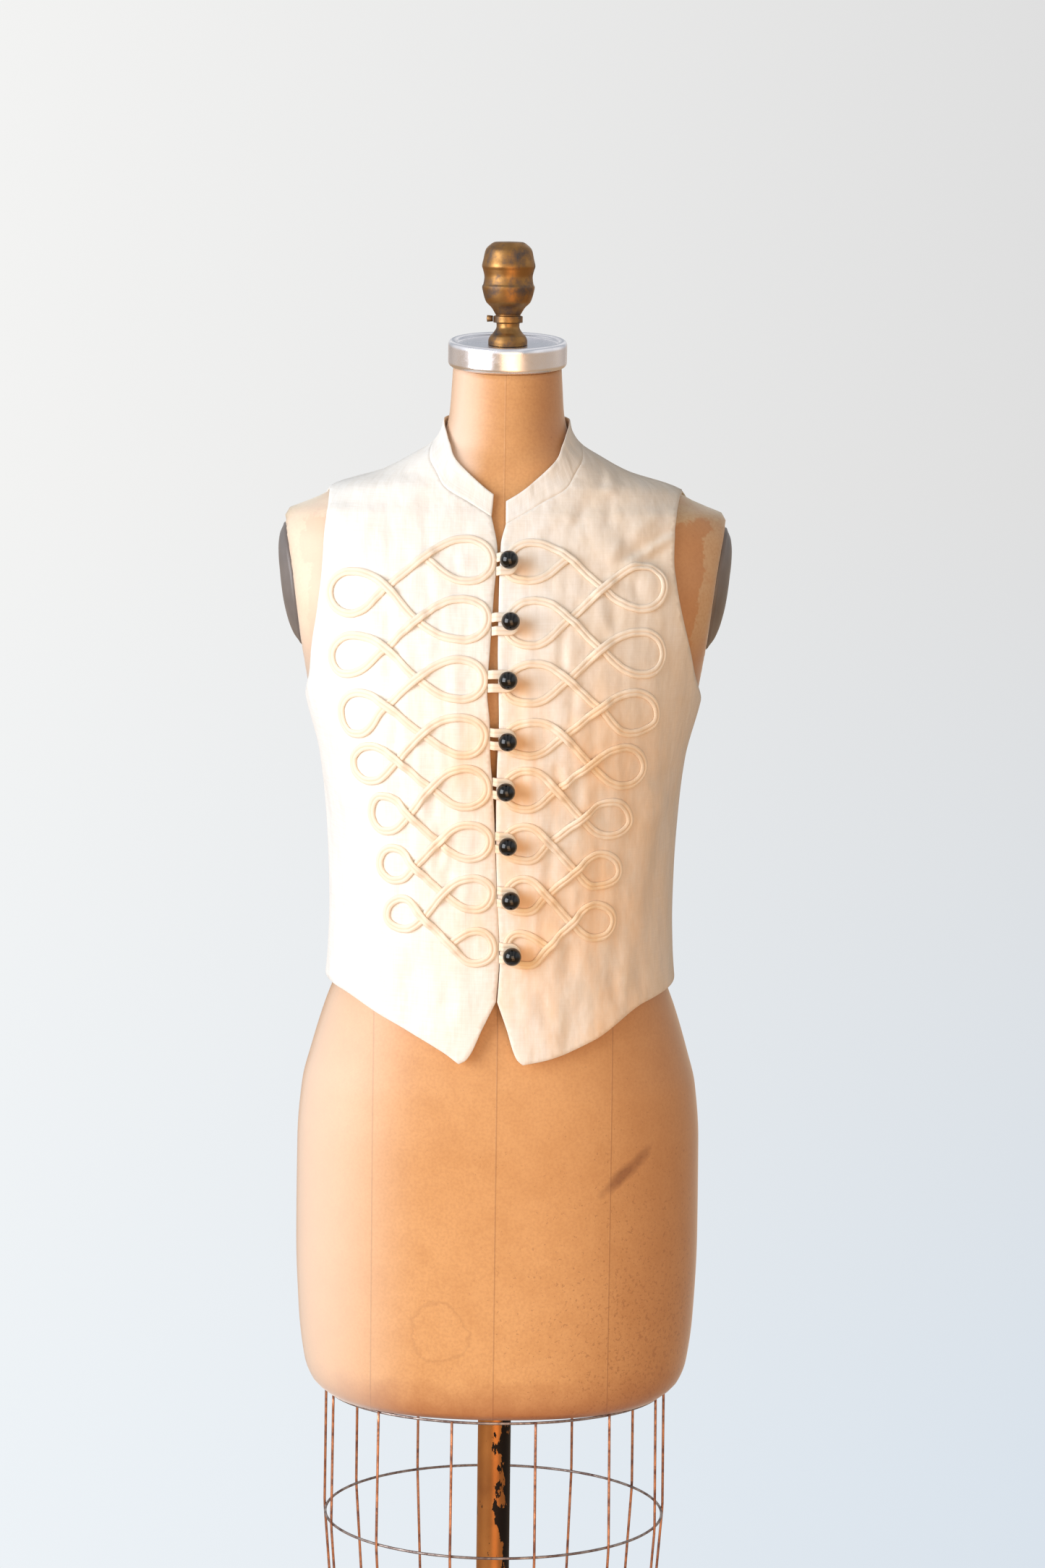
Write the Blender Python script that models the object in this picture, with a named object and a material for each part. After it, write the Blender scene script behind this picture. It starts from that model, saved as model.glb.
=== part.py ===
# Linen vest with looped braid and ball buttons, on the dress form that it rests on.
# Metres, +Z up, the front faces -Y, and the origin is on the floor under the stand's base.
from math import ceil, cos, pi, radians, sin, tan

import bpy
import numpy as np
from mathutils import Vector
from mathutils.bvhtree import BVHTree
from mathutils.geometry import delaunay_2d_cdt

# Driving sizes
MM = 0.001
CLOTH = 1.4 * MM
SEAM_GAP = 0.3 * MM
BRAID_WIDTH = 7.2 * MM
BRAID_THICK = 1.9 * MM
BRAID_LIFT = 0.7 * MM
CROSS_RISE = 2.5 * MM
CROSS_FLAT = 6 * MM
CROSS_RAMP = 8 * MM
BRAID_TOP_HALF = 0.36
BRAID_STEP = 14 * MM
BRAID_TURN = radians(21)
BUTTON_RADIUS = 8 * MM
SHANK_RADIUS = 1.0 * MM
WIRE = 2.4 * MM
POLE_RADIUS = 15 * MM
BODY_BOTTOM = 0.618
CAP_MIDDLE = 0.001
CAP_SEAT = 1.5405
CAP_TILT = radians(6)
TILT_START = 1.500
KNOB_SEAT = CAP_SEAT + 0.0196
KNOB_FOOT = 0.0035
SCREW_HEIGHT = KNOB_SEAT + 0.0222
BASE_RADIUS = 0.190
BASE_HEIGHT = 0.0297

# Level sections of the form's body: height, half width, front, back, squareness
FORM_SECTIONS = (
    (BODY_BOTTOM, 0.1540, 0.1130, 0.1180, 2.20),
    (0.6270, 0.1655, 0.1145, 0.1240, 2.20),
    (0.6450, 0.1730, 0.1155, 0.1280, 2.20),
    (0.6900, 0.1785, 0.1160, 0.1330, 2.20),
    (0.7600, 0.1812, 0.1160, 0.1360, 2.20),
    (0.8500, 0.1806, 0.1160, 0.1320, 2.20),
    (0.9000, 0.1765, 0.1140, 0.1220, 2.20),
    (0.9300, 0.1690, 0.1110, 0.1120, 2.20),
    (0.9700, 0.1570, 0.1060, 0.0990, 2.20),
    (1.0100, 0.1420, 0.0990, 0.0890, 2.25),
    (1.0500, 0.1300, 0.0950, 0.0830, 2.25),
    (1.1000, 0.1340, 0.1000, 0.0860, 2.30),
    (1.1500, 0.1450, 0.1130, 0.0920, 2.40),
    (1.2000, 0.1550, 0.1270, 0.0990, 2.50),
    (1.2440, 0.1688, 0.1360, 0.1050, 2.50),
    (1.2800, 0.1775, 0.1308, 0.1078, 2.45),
    (1.3200, 0.1930, 0.1198, 0.1118, 2.35),
    (1.3600, 0.2050, 0.1040, 0.1120, 2.25),
    (1.3900, 0.2050, 0.0900, 0.1080, 2.20),
    (1.4124, 0.1930, 0.0790, 0.1000, 2.20),
    (1.4224, 0.1692, 0.0725, 0.0935, 2.20),
    (1.4344, 0.1455, 0.0665, 0.0865, 2.20),
    (1.4464, 0.1062, 0.0615, 0.0795, 2.15),
    (1.4594, 0.0812, 0.0585, 0.0735, 2.10),
    (1.4724, 0.0606, 0.0550, 0.0660, 2.00),
    (1.4861, 0.0535, 0.0532, 0.0602, 2.00),
    (1.5000, 0.0503, 0.0505, 0.0550, 2.00),
    (1.5260, 0.0485, 0.0490, 0.0510, 2.00),
    (1.5400, 0.0476, 0.0480, 0.0500, 2.00),
)

# Level sections of the vest's outer face: height, half width, front, back, squareness
VEST_SECTIONS = (
    (0.930, 0.1640, 0.1215, 0.1180, 2.20),
    (0.970, 0.1610, 0.1200, 0.1080, 2.20),
    (1.000, 0.1562, 0.1190, 0.1040, 2.25),
    (1.030, 0.1540, 0.1200, 0.1010, 2.25),
    (1.060, 0.1532, 0.1225, 0.0995, 2.30),
    (1.100, 0.1540, 0.1270, 0.0995, 2.35),
    (1.150, 0.1570, 0.1330, 0.1020, 2.40),
    (1.200, 0.1625, 0.1395, 0.1065, 2.50),
    (1.244, 0.1738, 0.1430, 0.1115, 2.50),
    (1.280, 0.1820, 0.1375, 0.1155, 2.45),
    (1.320, 0.1965, 0.1255, 0.1185, 2.35),
    (1.360, 0.2080, 0.1090, 0.1180, 2.25),
    (1.390, 0.2080, 0.0950, 0.1140, 2.20),
    (1.415, 0.1955, 0.0830, 0.1050, 2.20),
    (1.425, 0.1725, 0.0765, 0.0985, 2.20),
    (1.437, 0.1488, 0.0705, 0.0915, 2.20),
    (1.449, 0.1095, 0.0655, 0.0845, 2.15),
    (1.462, 0.0845, 0.0625, 0.0785, 2.10),
    (1.475, 0.0645, 0.0600, 0.0710, 2.00),
    (1.488, 0.0565, 0.0570, 0.0640, 2.00),
    (1.503, 0.0535, 0.0545, 0.0590, 2.00),
    (1.520, 0.0535, 0.0545, 0.0590, 2.00),
)

# Front edges of each front at the centre, from the neck down: x, height
CENTRE_EDGE = {
    "right": (
        (0.0011, 1.4091), (-0.0030, 1.3917), (-0.0040, 1.3500), (-0.0042, 1.3050),
        (-0.0030, 1.2682), (-0.0024, 1.2400), (-0.0036, 1.2059), (-0.0040, 1.1700),
        (-0.0036, 1.1300), (-0.0022, 1.0900), (0.0000, 1.0500), (0.0006, 1.0300),
        (-0.0012, 0.9956), (0.0066, 0.9739), (0.0166, 0.9450), (0.0216, 0.9405),
    ),
    "left": (
        (-0.0126, 1.4091), (-0.0066, 1.3857), (-0.0092, 1.3500), (-0.0118, 1.3050),
        (-0.0136, 1.2700), (-0.0112, 1.2450), (-0.0103, 1.2152), (-0.0078, 1.1850),
        (-0.0056, 1.1450), (-0.0036, 1.0965), (-0.0014, 1.0600), (-0.0008, 1.0300),
        (-0.0031, 0.9956), (-0.0140, 0.9730), (-0.0285, 0.9440), (-0.0346, 0.9405),
    ),
}

# Hems from the point to the side seam: distance from the centre, height
HEM = {
    "right": (
        (0.0216, 0.9405), (0.0429, 0.9446), (0.0826, 0.9600), (0.1277, 0.9890), (0.1562, 1.0010),
    ),
    "left": (
        (0.0346, 0.9405), (0.0480, 0.9500), (0.1018, 0.9775), (0.1380, 0.9945), (0.1562, 1.0010),
    ),
}

# Armholes from the underarm up to the shoulder's end: height, distance from the centre
ARMHOLE = {
    "right": (
        (1.2400, 0.1728), (1.2713, 0.1692), (1.3016, 0.1622), (1.3383, 0.1531),
        (1.3583, 0.1492), (1.3763, 0.1472), (1.3941, 0.1472), (1.4178, 0.1490), (1.4320, 0.1530),
    ),
    "left": (
        (1.2400, 0.1728), (1.2713, 0.1704), (1.3016, 0.1670), (1.3332, 0.1622),
        (1.3583, 0.1592), (1.3763, 0.1580), (1.3999, 0.1568), (1.4178, 0.1550), (1.4320, 0.1545),
    ),
    "back": (
        (1.2400, 0.1728), (1.2713, 0.1696), (1.3016, 0.1620), (1.3383, 0.1540),
        (1.3583, 0.1510), (1.3763, 0.1500), (1.3941, 0.1500), (1.4178, 0.1510), (1.4320, 0.1535),
    ),
}
SHOULDER_TIP = 1.4345
CLOTH_SPACING = 0.0185
EDGE_SPACING = 0.019
SIDE_STEPS = 13
SHOULDER_STEPS = 6
NECK_COLUMNS_FRONT = 9
NECK_COLUMNS_BACK = 10

# Neck seam and collar's top edge by angle from the centre front: angle, seam height, top height
COLLAR = (
    (0, 1.4091, 1.4275),
    (11, 1.4180, 1.4358),
    (24, 1.4280, 1.4478),
    (37, 1.4377, 1.4605),
    (52, 1.4560, 1.4752),
    (68, 1.4680, 1.4858),
    (90, 1.4755, 1.4940),
    (130, 1.4800, 1.4960),
    (180, 1.4810, 1.4965),
)

# Largest folds, as soft ridges (+) and troughs (-) along a line on the front:
# side, x and height of each end, height of the ridge, half width
FOLDS = (
    ("front_right", 0.146, 1.372, 0.100, 1.392, -0.0022, 0.011),
    ("front_right", 0.147, 1.352, 0.078, 1.398, 0.0026, 0.012),
    ("front_right", 0.090, 1.430, 0.030, 1.396, -0.0018, 0.014),
    ("front_right", 0.158, 1.190, 0.128, 1.060, -0.0026, 0.013),
    ("front_right", 0.134, 1.225, 0.118, 1.040, 0.0024, 0.012),
    ("front_right", 0.070, 1.000, 0.062, 0.950, -0.0024, 0.013),
    ("front_left", 0.150, 1.395, 0.100, 1.400, 0.0020, 0.013),
    ("front_left", 0.156, 1.180, 0.130, 1.040, -0.0024, 0.013),
    ("front_left", 0.134, 1.215, 0.120, 1.050, 0.0022, 0.012),
    ("front_left", 0.075, 1.030, 0.080, 0.965, -0.0022, 0.013),
    ("back", 0.020, 1.200, 0.030, 1.020, 0.0030, 0.016),
    ("back", -0.055, 1.230, -0.070, 1.030, -0.0026, 0.017),
    ("back", 0.100, 1.240, 0.090, 1.060, -0.0024, 0.016),
    ("back", -0.125, 1.340, -0.060, 1.250, 0.0022, 0.015),
)

# Braid rows: distance from the centre in mm and height of eight places.
# First line: inner loop's near edge, its top edge, the crossing behind it, its bottom edge.
# Second line: outer loop's crossing, its top edge, its far edge, its bottom edge.
BRAID = {
    "right": (
        (
            -2.1, 1.3738, 23.1, 1.3980, 55.1, 1.3815, 20.5, 1.3591,
            85.3, 1.3564, 120.8, 1.3776, 141.0, 1.3548, 121.2, 1.3355,
        ),
        (
            -1.4, 1.3252, 26.2, 1.3501, 56.5, 1.3314, 22.8, 1.3055,
            83.9, 1.3059, 118.5, 1.3234, 141.4, 1.3002, 121.9, 1.2800,
        ),
        (
            -1.9, 1.2743, 28.4, 1.2977, 55.6, 1.2805, 23.4, 1.2574,
            83.3, 1.2560, 113.6, 1.2722, 135.9, 1.2485, 111.4, 1.2300,
        ),
        (
            -1.3, 1.2280, 27.5, 1.2484, 52.8, 1.2327, 24.0, 1.2121,
            75.9, 1.2074, 105.8, 1.2249, 125.3, 1.2037, 106.6, 1.1836,
        ),
        (
            -2.1, 1.1836, 22.5, 1.2061, 47.3, 1.1852, 20.6, 1.1645,
            68.9, 1.1596, 95.6, 1.1768, 113.9, 1.1563, 93.5, 1.1394,
        ),
        (
            -1.5, 1.1353, 20.7, 1.1564, 42.4, 1.1375, 22.4, 1.1187,
            64.4, 1.1128, 86.7, 1.1303, 105.9, 1.1108, 82.9, 1.0945,
        ),
        (
            0.3, 1.0869, 19.8, 1.1097, 40.3, 1.0910, 21.7, 1.0728,
            62.0, 1.0661, 81.8, 1.0852, 101.8, 1.0663, 83.7, 1.0479,
        ),
        (1.5, 1.0396, 16.2, 1.0607, 41.6, 1.0445, 24.9, 1.0252),
    ),
    "left": (
        (
            7.0, 1.3779, 32.7, 1.4003, 69.0, 1.3807, 32.0, 1.3581,
            101.3, 1.3552, 131.0, 1.3705, 154.6, 1.3487, 133.9, 1.3278,
        ),
        (
            9.9, 1.3309, 34.7, 1.3505, 74.5, 1.3282, 34.0, 1.3096,
            101.0, 1.3042, 129.4, 1.3169, 151.6, 1.2952, 137.3, 1.2763,
        ),
        (
            12.6, 1.2797, 36.6, 1.3004, 73.3, 1.2796, 36.1, 1.2599,
            99.6, 1.2556, 123.1, 1.2684, 143.1, 1.2483, 126.7, 1.2249,
        ),
        (
            11.6, 1.2328, 35.9, 1.2516, 68.7, 1.2329, 31.5, 1.2118,
            89.9, 1.2083, 112.6, 1.2227, 131.3, 1.2050, 114.0, 1.1843,
        ),
        (
            8.4, 1.1857, 29.9, 1.2072, 60.9, 1.1853, 31.1, 1.1660,
            79.3, 1.1606, 102.5, 1.1793, 115.4, 1.1603, 99.5, 1.1405,
        ),
        (
            6.0, 1.1397, 28.0, 1.1574, 54.0, 1.1372, 26.3, 1.1200,
            74.0, 1.1143, 93.3, 1.1332, 108.1, 1.1148, 91.6, 1.0970,
        ),
        (
            4.0, 1.0937, 23.4, 1.1097, 49.6, 1.0918, 21.7, 1.0746,
            66.4, 1.0690, 84.5, 1.0883, 101.8, 1.0692, 85.0, 1.0538,
        ),
        (1.9, 1.0431, 18.9, 1.0626, 43.2, 1.0465, 21.7, 1.0263),
    ),
}

# Ball buttons: x, height
BUTTONS = (
    (0.0040, 1.3757), (0.0060, 1.3261), (0.0046, 1.2788), (0.0048, 1.2301),
    (0.0039, 1.1869), (0.0060, 1.1386), (0.0089, 1.0903), (0.0106, 1.0398),
)
BUTTON_LOOP_HALF = 5.6 * MM
BUTTON_LOOP_BAND = 8.2 * MM
BUTTON_LOOP_THICK = 1.6 * MM
BUTTON_LOOP_UNDER = BRAID_LIFT + BRAID_THICK + 0.5 * MM
BUTTON_LOOP_START = 0.4 * MM
BUTTON_LOOP_LEAD = 2.6 * MM
BUTTON_LOOP_SHORT = 1.5 * MM
BUTTON_LOOP_SEAT = 0.45 * MM
BUTTON_STAND = BUTTON_LOOP_UNDER + BUTTON_LOOP_THICK + 0.8 * MM

# Cage rings: name, height, half width, half depth, middle of the depth
CAGE_RINGS = (
    ("cage_ring_top", 0.6163, 0.1525, 0.1205, 0.003),
    ("cage_ring_middle", 0.4980, 0.1535, 0.1365, 0.003),
    ("cage_ring_bottom", 0.3000, 0.1385, 0.1300, 0.003),
)
CAGE_WIRES = 13

# Turned pieces from below: radius, height above the piece's seat
NECK_CAP = (
    (0.0, 0.0), (0.0475, 0.0), (0.0510, 0.0016), (0.0522, 0.0045), (0.0522, 0.0190), (0.0512, 0.0222),
    (0.0485, 0.0235), (0.0455, 0.0225), (0.0435, 0.0203), (0.0330, 0.0192), (0.0, 0.0190),
)
KNOB = (
    (0.0, 0.0), (0.0172, 0.0), (0.0172, 0.0026), (0.0159, 0.0065), (0.0126, 0.0103), (0.0100, 0.0155),
    (0.0102, 0.0183), (0.0129, 0.0191), (0.0129, 0.0242), (0.0108, 0.0253), (0.0118, 0.0271),
    (0.0146, 0.0317), (0.0196, 0.0370), (0.0222, 0.0450), (0.0231, 0.0500), (0.0220, 0.0525),
    (0.0212, 0.0585), (0.0224, 0.0645), (0.0234, 0.0680), (0.0222, 0.0740), (0.0203, 0.0822),
    (0.0165, 0.0865), (0.0120, 0.0890), (0.0, 0.0895),
)
THUMB_SCREW = ((0.0, 0.0132), (0.0026, 0.0132), (0.0030, 0.0184), (0.0, 0.0188))
STAND_BASE = (
    (0.0, 0.0), (BASE_RADIUS, 0.0), (BASE_RADIUS, 0.0100), (BASE_RADIUS - 0.008, 0.0160),
    (0.0600, 0.0230), (0.0300, BASE_HEIGHT), (0.0, BASE_HEIGHT),
)

# Arm plates: oval rings as shares of the half sizes, and how far out they stand
ARM_PLATE_RINGS = (
    (1.0, 0.35 * MM), (1.0, 1.8 * MM), (0.93, 5.0 * MM), (0.80, 9.0 * MM), (0.58, 12.2 * MM), (0.30, 14.0 * MM),
)
ARM_PLATE_TOP = 14.4 * MM
ARM_PLATE_DEPTH = 0.045
ARM_PLATE_HEIGHT = 0.0545
ARM_PLATE_BACK = 0.002
ARM_PLATE_MIDDLE = 1.347

# Flat arm end: its distance out at a height, its lean, and how far it turns out above the bend
ARM_END_OUT = 0.1862
ARM_END_AT = 1.372
ARM_END_LEAN = 0.125
ARM_END_FLARE = 0.003
ARM_END_BEND = (1.3600, 1.4124)


def paint(name, colour, roughness, metallic=0.0):
    """A plain material of one colour."""
    material = bpy.data.materials.new(name)
    material.use_nodes = True
    shader = material.node_tree.nodes["Principled BSDF"]
    linear = [c / 12.92 if c <= 0.04045 else ((c + 0.055) / 1.055) ** 2.4 for c in colour]
    shader.inputs["Base Color"].default_value = (*linear, 1.0)
    shader.inputs["Roughness"].default_value = roughness
    shader.inputs["Metallic"].default_value = metallic
    return material


def add(name, points, faces, material, smooth_shading=False):
    """An object from points and faces, all turned outward if they enclose less than nothing."""
    points = [Vector(p) for p in points]
    volume = 0.0
    for face in faces:
        for k in range(1, len(face) - 1):
            volume += points[face[0]].dot(points[face[k]].cross(points[face[k + 1]]))
    if volume < 0:
        faces = [tuple(face)[::-1] for face in faces]
    mesh = bpy.data.meshes.new(name)
    mesh.from_pydata([tuple(p) for p in points], [], [tuple(f) for f in faces])
    mesh.materials.append(material)
    mesh.polygons.foreach_set("use_smooth", [smooth_shading] * len(mesh.polygons))
    mesh.update()
    piece = bpy.data.objects.new(name, mesh)
    bpy.context.collection.objects.link(piece)
    return piece


def smooth(places, values, wanted):
    """A curve through the values with no overshoot: cubic pieces, flat at each turn."""
    places = np.asarray(places, float)
    values = np.asarray(values, float)
    wanted = np.clip(np.asarray(wanted, float), places[0], places[-1])
    steps = np.diff(places)
    slopes = np.diff(values) / steps
    product = slopes[:-1] * slopes[1:]
    total = slopes[:-1] + slopes[1:]
    mean = np.where(product > 0, 2 * product / np.where(total == 0, 1, total), 0)
    tangents = np.concatenate(([slopes[0]], mean, [slopes[-1]]))
    place = np.clip(np.searchsorted(places, wanted, side="right") - 1, 0, len(steps) - 1)
    u = (wanted - places[place]) / steps[place]
    start = (1 + 2 * u) * (1 - u) ** 2 * values[place]
    leave = u * (1 - u) ** 2 * steps[place] * tangents[place]
    end = u**2 * (3 - 2 * u) * values[place + 1]
    arrive = u**2 * (u - 1) * steps[place] * tangents[place + 1]
    return start + leave + end + arrive


def section(table, height):
    """Half width, front depth, back depth and squareness at a height."""
    rows = np.array(table)
    return [smooth(rows[:, 0], rows[:, k], height) for k in range(1, 5)]


def trunk(table, angle, height):
    """A point of the trunk: angle 0 is the front and a quarter turn is +X."""
    half, front, back, square = section(table, height)
    angle = np.asarray(angle, float)
    depth = np.where(np.cos(angle) >= 0, front, back)
    across = np.abs(np.sin(angle)) / half
    along = np.abs(np.cos(angle)) / depth
    reach = (across**square + along**square) ** (-1 / square)
    return np.stack([reach * np.sin(angle), -reach * np.cos(angle), height + 0 * reach], axis=-1)


def angle_at(table, x, height, behind=False):
    """The angle at which the trunk's level section passes a distance from the centre."""
    half, front, back, square = section(table, height)
    share = np.clip(np.abs(x) / half, 0, 1)
    depth = (back if behind else front) * (1 - share**square) ** (1 / square)
    angle = np.arctan2(np.abs(x), depth)
    return pi - angle if behind else angle


def height_scale(table):
    """Heights and the distance run along the trunk between them, an eighth of a turn from the side."""
    heights = np.linspace(table[0][0], table[-1][0], 600)
    line = trunk(table, radians(62), heights)
    run = np.concatenate(([0], np.cumsum(np.linalg.norm(np.diff(line, axis=0), axis=1))))
    return heights, run


VEST_HEIGHTS, VEST_RUN = height_scale(VEST_SECTIONS)


def to_run(height):
    """The distance run up the vest at a height."""
    return np.interp(height, VEST_HEIGHTS, VEST_RUN)


def to_height(run):
    """The height at a distance run up the vest."""
    return np.interp(run, VEST_RUN, VEST_HEIGHTS)


def fold_height(side, points):
    """How far the folds of one panel raise its points."""
    total = np.zeros(points.shape[:-1])
    for name, x0, z0, x1, z1, rise, width in FOLDS:
        if name != side:
            continue
        turn = -1 if side == "front_left" else 1
        start = np.array([x0 * turn, z0])
        line = np.array([x1 * turn, z1]) - start
        flat = points[..., [0, 2]] - start
        share = np.clip(flat @ line / (line @ line), 0, 1)
        away = np.linalg.norm(flat - share[..., None] * line, axis=-1)
        ends = np.clip(1.15 - np.abs(2 * share - 1) ** 3, 0, 1)
        total += rise * ends * np.exp(-((away / width) ** 2))
    return total


def resample(points, count):
    """Points at equal steps along a line of (across, run) pairs."""
    run = np.concatenate(([0], np.cumsum(np.linalg.norm(np.diff(points, axis=0), axis=1))))
    wanted = np.linspace(0, run[-1], count)
    return np.stack([smooth(run, points[:, k], wanted) for k in range(points.shape[1])], axis=-1)


def fill(edge, spacing):
    """Triangles that fill a closed outline: its own points and a lattice of points inside it."""
    edge = np.asarray(edge)
    low, high = edge.min(axis=0), edge.max(axis=0)
    row_step = spacing * sin(pi / 3)
    inside = []
    for j in range(int((high[1] - low[1]) / row_step) + 1):
        for i in range(int((high[0] - low[0]) / spacing) + 2):
            point = low + np.array([(i - 0.5 * (j % 2)) * spacing, (j + 0.5) * row_step])
            after = np.roll(edge, -1, axis=0)
            span = after - edge
            share = np.clip(((point - edge) * span).sum(axis=1) / (span**2).sum(axis=1), 0, 1)
            away = np.linalg.norm(edge + span * share[:, None] - point, axis=1).min()
            above = (edge[:, 1] > point[1]) != (after[:, 1] > point[1])
            slope = span[:, 0] / np.where(span[:, 1] == 0, 1, span[:, 1])
            crossing = edge[:, 0] + (point[1] - edge[:, 1]) * slope
            if (above & (crossing > point[0])).sum() % 2 and away > 0.55 * spacing:
                inside.append(point)
    flat = [Vector(p) for p in edge] + [Vector(p) for p in inside]
    loop = [(i, (i + 1) % len(edge)) for i in range(len(edge))]
    found = delaunay_2d_cdt(flat, loop, [], 1, 1e-7)
    return np.array([tuple(p) for p in found[0]]), [tuple(f) for f in found[2]]


def panel_points(side, grid, fade):
    """Outer points and outward directions of a panel over a grid of (angle, run) pairs."""
    step_angle = 0.002
    step_run = 0.0005
    angle, run = grid[..., 0], grid[..., 1]

    def place(a, r):
        return trunk(VEST_SECTIONS, a, to_height(r))

    def raised(a, r, normal):
        point = place(a, r)
        return point + normal * (fade * fold_height(side, point))[..., None]

    across = place(angle + step_angle, run) - place(angle - step_angle, run)
    upward = place(angle, run + step_run) - place(angle, run - step_run)
    normal = np.cross(across, upward)
    normal /= np.linalg.norm(normal, axis=-1)[..., None]
    return raised(angle, run, normal), normal


def wall(name, outer, normal, triangles, material):
    """A cloth wall from outer points: the inner face is set back along the normals, with a rim between."""
    inner = outer - normal * CLOTH
    start = len(outer)
    faces = list(triangles) + [(a + start, c + start, b + start) for a, b, c in triangles]
    used = set()
    for a, b, c in triangles:
        used |= {(a, b), (b, c), (c, a)}
    for a, b in sorted(used):
        if (b, a) not in used:
            faces += [(b, a, a + start), (b, a + start, b + start)]
    return add(name, np.concatenate([outer, inner]), faces, material, True)


def panel(name, edge, held, turn, material, behind=False):
    """A cloth panel inside an outline; its folds die away towards the seams that hold it."""
    flat, triangles = fill(edge, CLOTH_SPACING)
    away = np.linalg.norm(flat[:, None] - held[None], axis=-1).min(axis=1)
    fade = np.clip(away / 0.03, 0, 1) ** 2
    grid = to_angles(flat, behind)
    half = section(VEST_SECTIONS, to_height(grid[:, 1]))[0]
    margin = SEAM_GAP / 2 / half
    grid[:, 0] = np.clip(grid[:, 0], margin - pi / 2, pi / 2 - margin)
    grid[:, 0] = pi - grid[:, 0] if behind else grid[:, 0] * turn
    outer, normal = panel_points(name, grid, fade)
    return wall(name, outer, normal, triangles, material)


def ring_lengths(height, behind):
    """Angles from the centre line to the side and the distance run round the vest at each."""
    angle = np.linspace(0, pi / 2, 49)
    ring = trunk(VEST_SECTIONS, pi - angle if behind else angle, np.full(49, float(height)))
    return angle, np.concatenate(([0], np.cumsum(np.linalg.norm(np.diff(ring, axis=0), axis=1))))


def to_across(angle, height, behind=False):
    """Distance round the vest from the centre line, for rows of angles and heights."""
    found = []
    for one_angle, one_height in zip(angle, height):
        angles, lengths = ring_lengths(one_height, behind)
        found.append(np.sign(one_angle) * np.interp(abs(one_angle), angles, lengths))
    return np.array(found)


def to_angles(grid, behind=False):
    """A grid of (across, run) pairs as (angle, run) pairs."""
    turned = grid.copy()
    for place in np.ndindex(grid.shape[:-1]):
        across, run = grid[place]
        angles, lengths = ring_lengths(to_height(run), behind)
        turned[place][0] = np.sign(across) * np.interp(abs(across), lengths, angles)
    return turned


def outline(x, height, behind=False, sides=()):
    """(across, run) pairs of a row of points given as seen from the front; sides lie on the side seam."""
    angle = angle_at(VEST_SECTIONS, x, height) * np.where(np.asarray(x) < 0, -1, 1)
    for place in sides:
        angle[place] = pi / 2
    return np.stack([to_across(angle, height, behind), to_run(height)], axis=-1)


def evenly(points):
    """A row of points respaced at about the edge spacing."""
    length = np.linalg.norm(np.diff(points, axis=0), axis=1).sum()
    return resample(points, max(2, round(length / EDGE_SPACING) + 1))


def side_edge(hole, hem_height, behind=False):
    """The side seam from the hem, and the armhole from the underarm to the shoulder's end."""
    points = np.array(list(hole) + [(SHOULDER_TIP, 1.0)])
    arm = outline(points[:, 1], points[:, 0], behind, (0, -1))
    heights = np.linspace(hem_height, hole[0][0], SIDE_STEPS + 1)
    seam = outline(np.ones(SIDE_STEPS + 1), heights, behind, range(SIDE_STEPS + 1))
    return seam, evenly(arm)


def neck_edge(first_angle, columns, behind=False):
    """Points just under the collar from an angle near the centre line to the shoulder seam."""
    table = np.array(COLLAR)
    spread = np.linspace(first_angle, pi / 2, columns + 1)
    seen = pi - spread if behind else spread
    height = smooth(np.radians(table[:, 0]), table[:, 1], np.abs(seen))
    height = to_height(to_run(height) - SEAM_GAP / 2)
    return np.stack([to_across(spread, height, behind), to_run(height)], axis=-1)


def shoulder_edge(start_run, behind=False):
    """Points along the shoulder seam from the neck to the shoulder's end."""
    run = np.linspace(start_run, to_run(SHOULDER_TIP), SHOULDER_STEPS + 1)
    return outline(np.ones(len(run)), to_height(run), behind, range(len(run)))


def front_panel(side, material):
    """One front: hem, side seam, armhole, shoulder seam, neck and centre edge."""
    turn = 1 if side == "right" else -1
    edge = np.array(CENTRE_EDGE[side]) * (turn, 1)
    split = len(edge) - 4
    centre = outline(edge[:, 0], edge[:, 1])
    hem = np.array(HEM[side])
    bottom = evenly(outline(hem[:, 0], hem[:, 1], False, (-1,)))
    seam, arm = side_edge(ARMHOLE[side], hem[-1, 1])
    first_angle = angle_at(VEST_SECTIONS, *edge[0]) * np.sign(edge[0, 0])
    neck = neck_edge(first_angle, NECK_COLUMNS_FRONT)
    shoulder = shoulder_edge(neck[-1, 1])
    centre[0] = neck[0]
    upper, lower = evenly(centre[: split + 1]), evenly(centre[split:])
    whole = [bottom[:-1], seam[:-1], arm[:-1], shoulder[:0:-1], neck[:0:-1], upper[:-1], lower[:-1]]
    held = np.concatenate([seam, shoulder, neck])
    return panel("front_" + side, np.concatenate(whole), held, turn, material)


def back_panel(material):
    """The back: hem, two side seams with armholes, neck between two shoulder seams."""
    seam, arm = side_edge(ARMHOLE["back"], HEM["right"][-1][1], True)
    bottom = evenly(np.array([seam[0] * (-1, 1), seam[0]]))
    neck = neck_edge(0.0, NECK_COLUMNS_BACK // 2, True)
    shoulder = shoulder_edge(neck[-1, 1], True)
    half_edge = np.concatenate([seam[:-1], arm[:-1], shoulder[:0:-1], neck[::-1]])
    other = (half_edge * (-1, 1))[-2:0:-1]
    held = np.concatenate([seam, shoulder, neck])
    held = np.concatenate([held, held * (-1, 1)])
    return panel("back", np.concatenate([bottom[:-1], half_edge, other]), held, 1, material, True)


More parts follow.
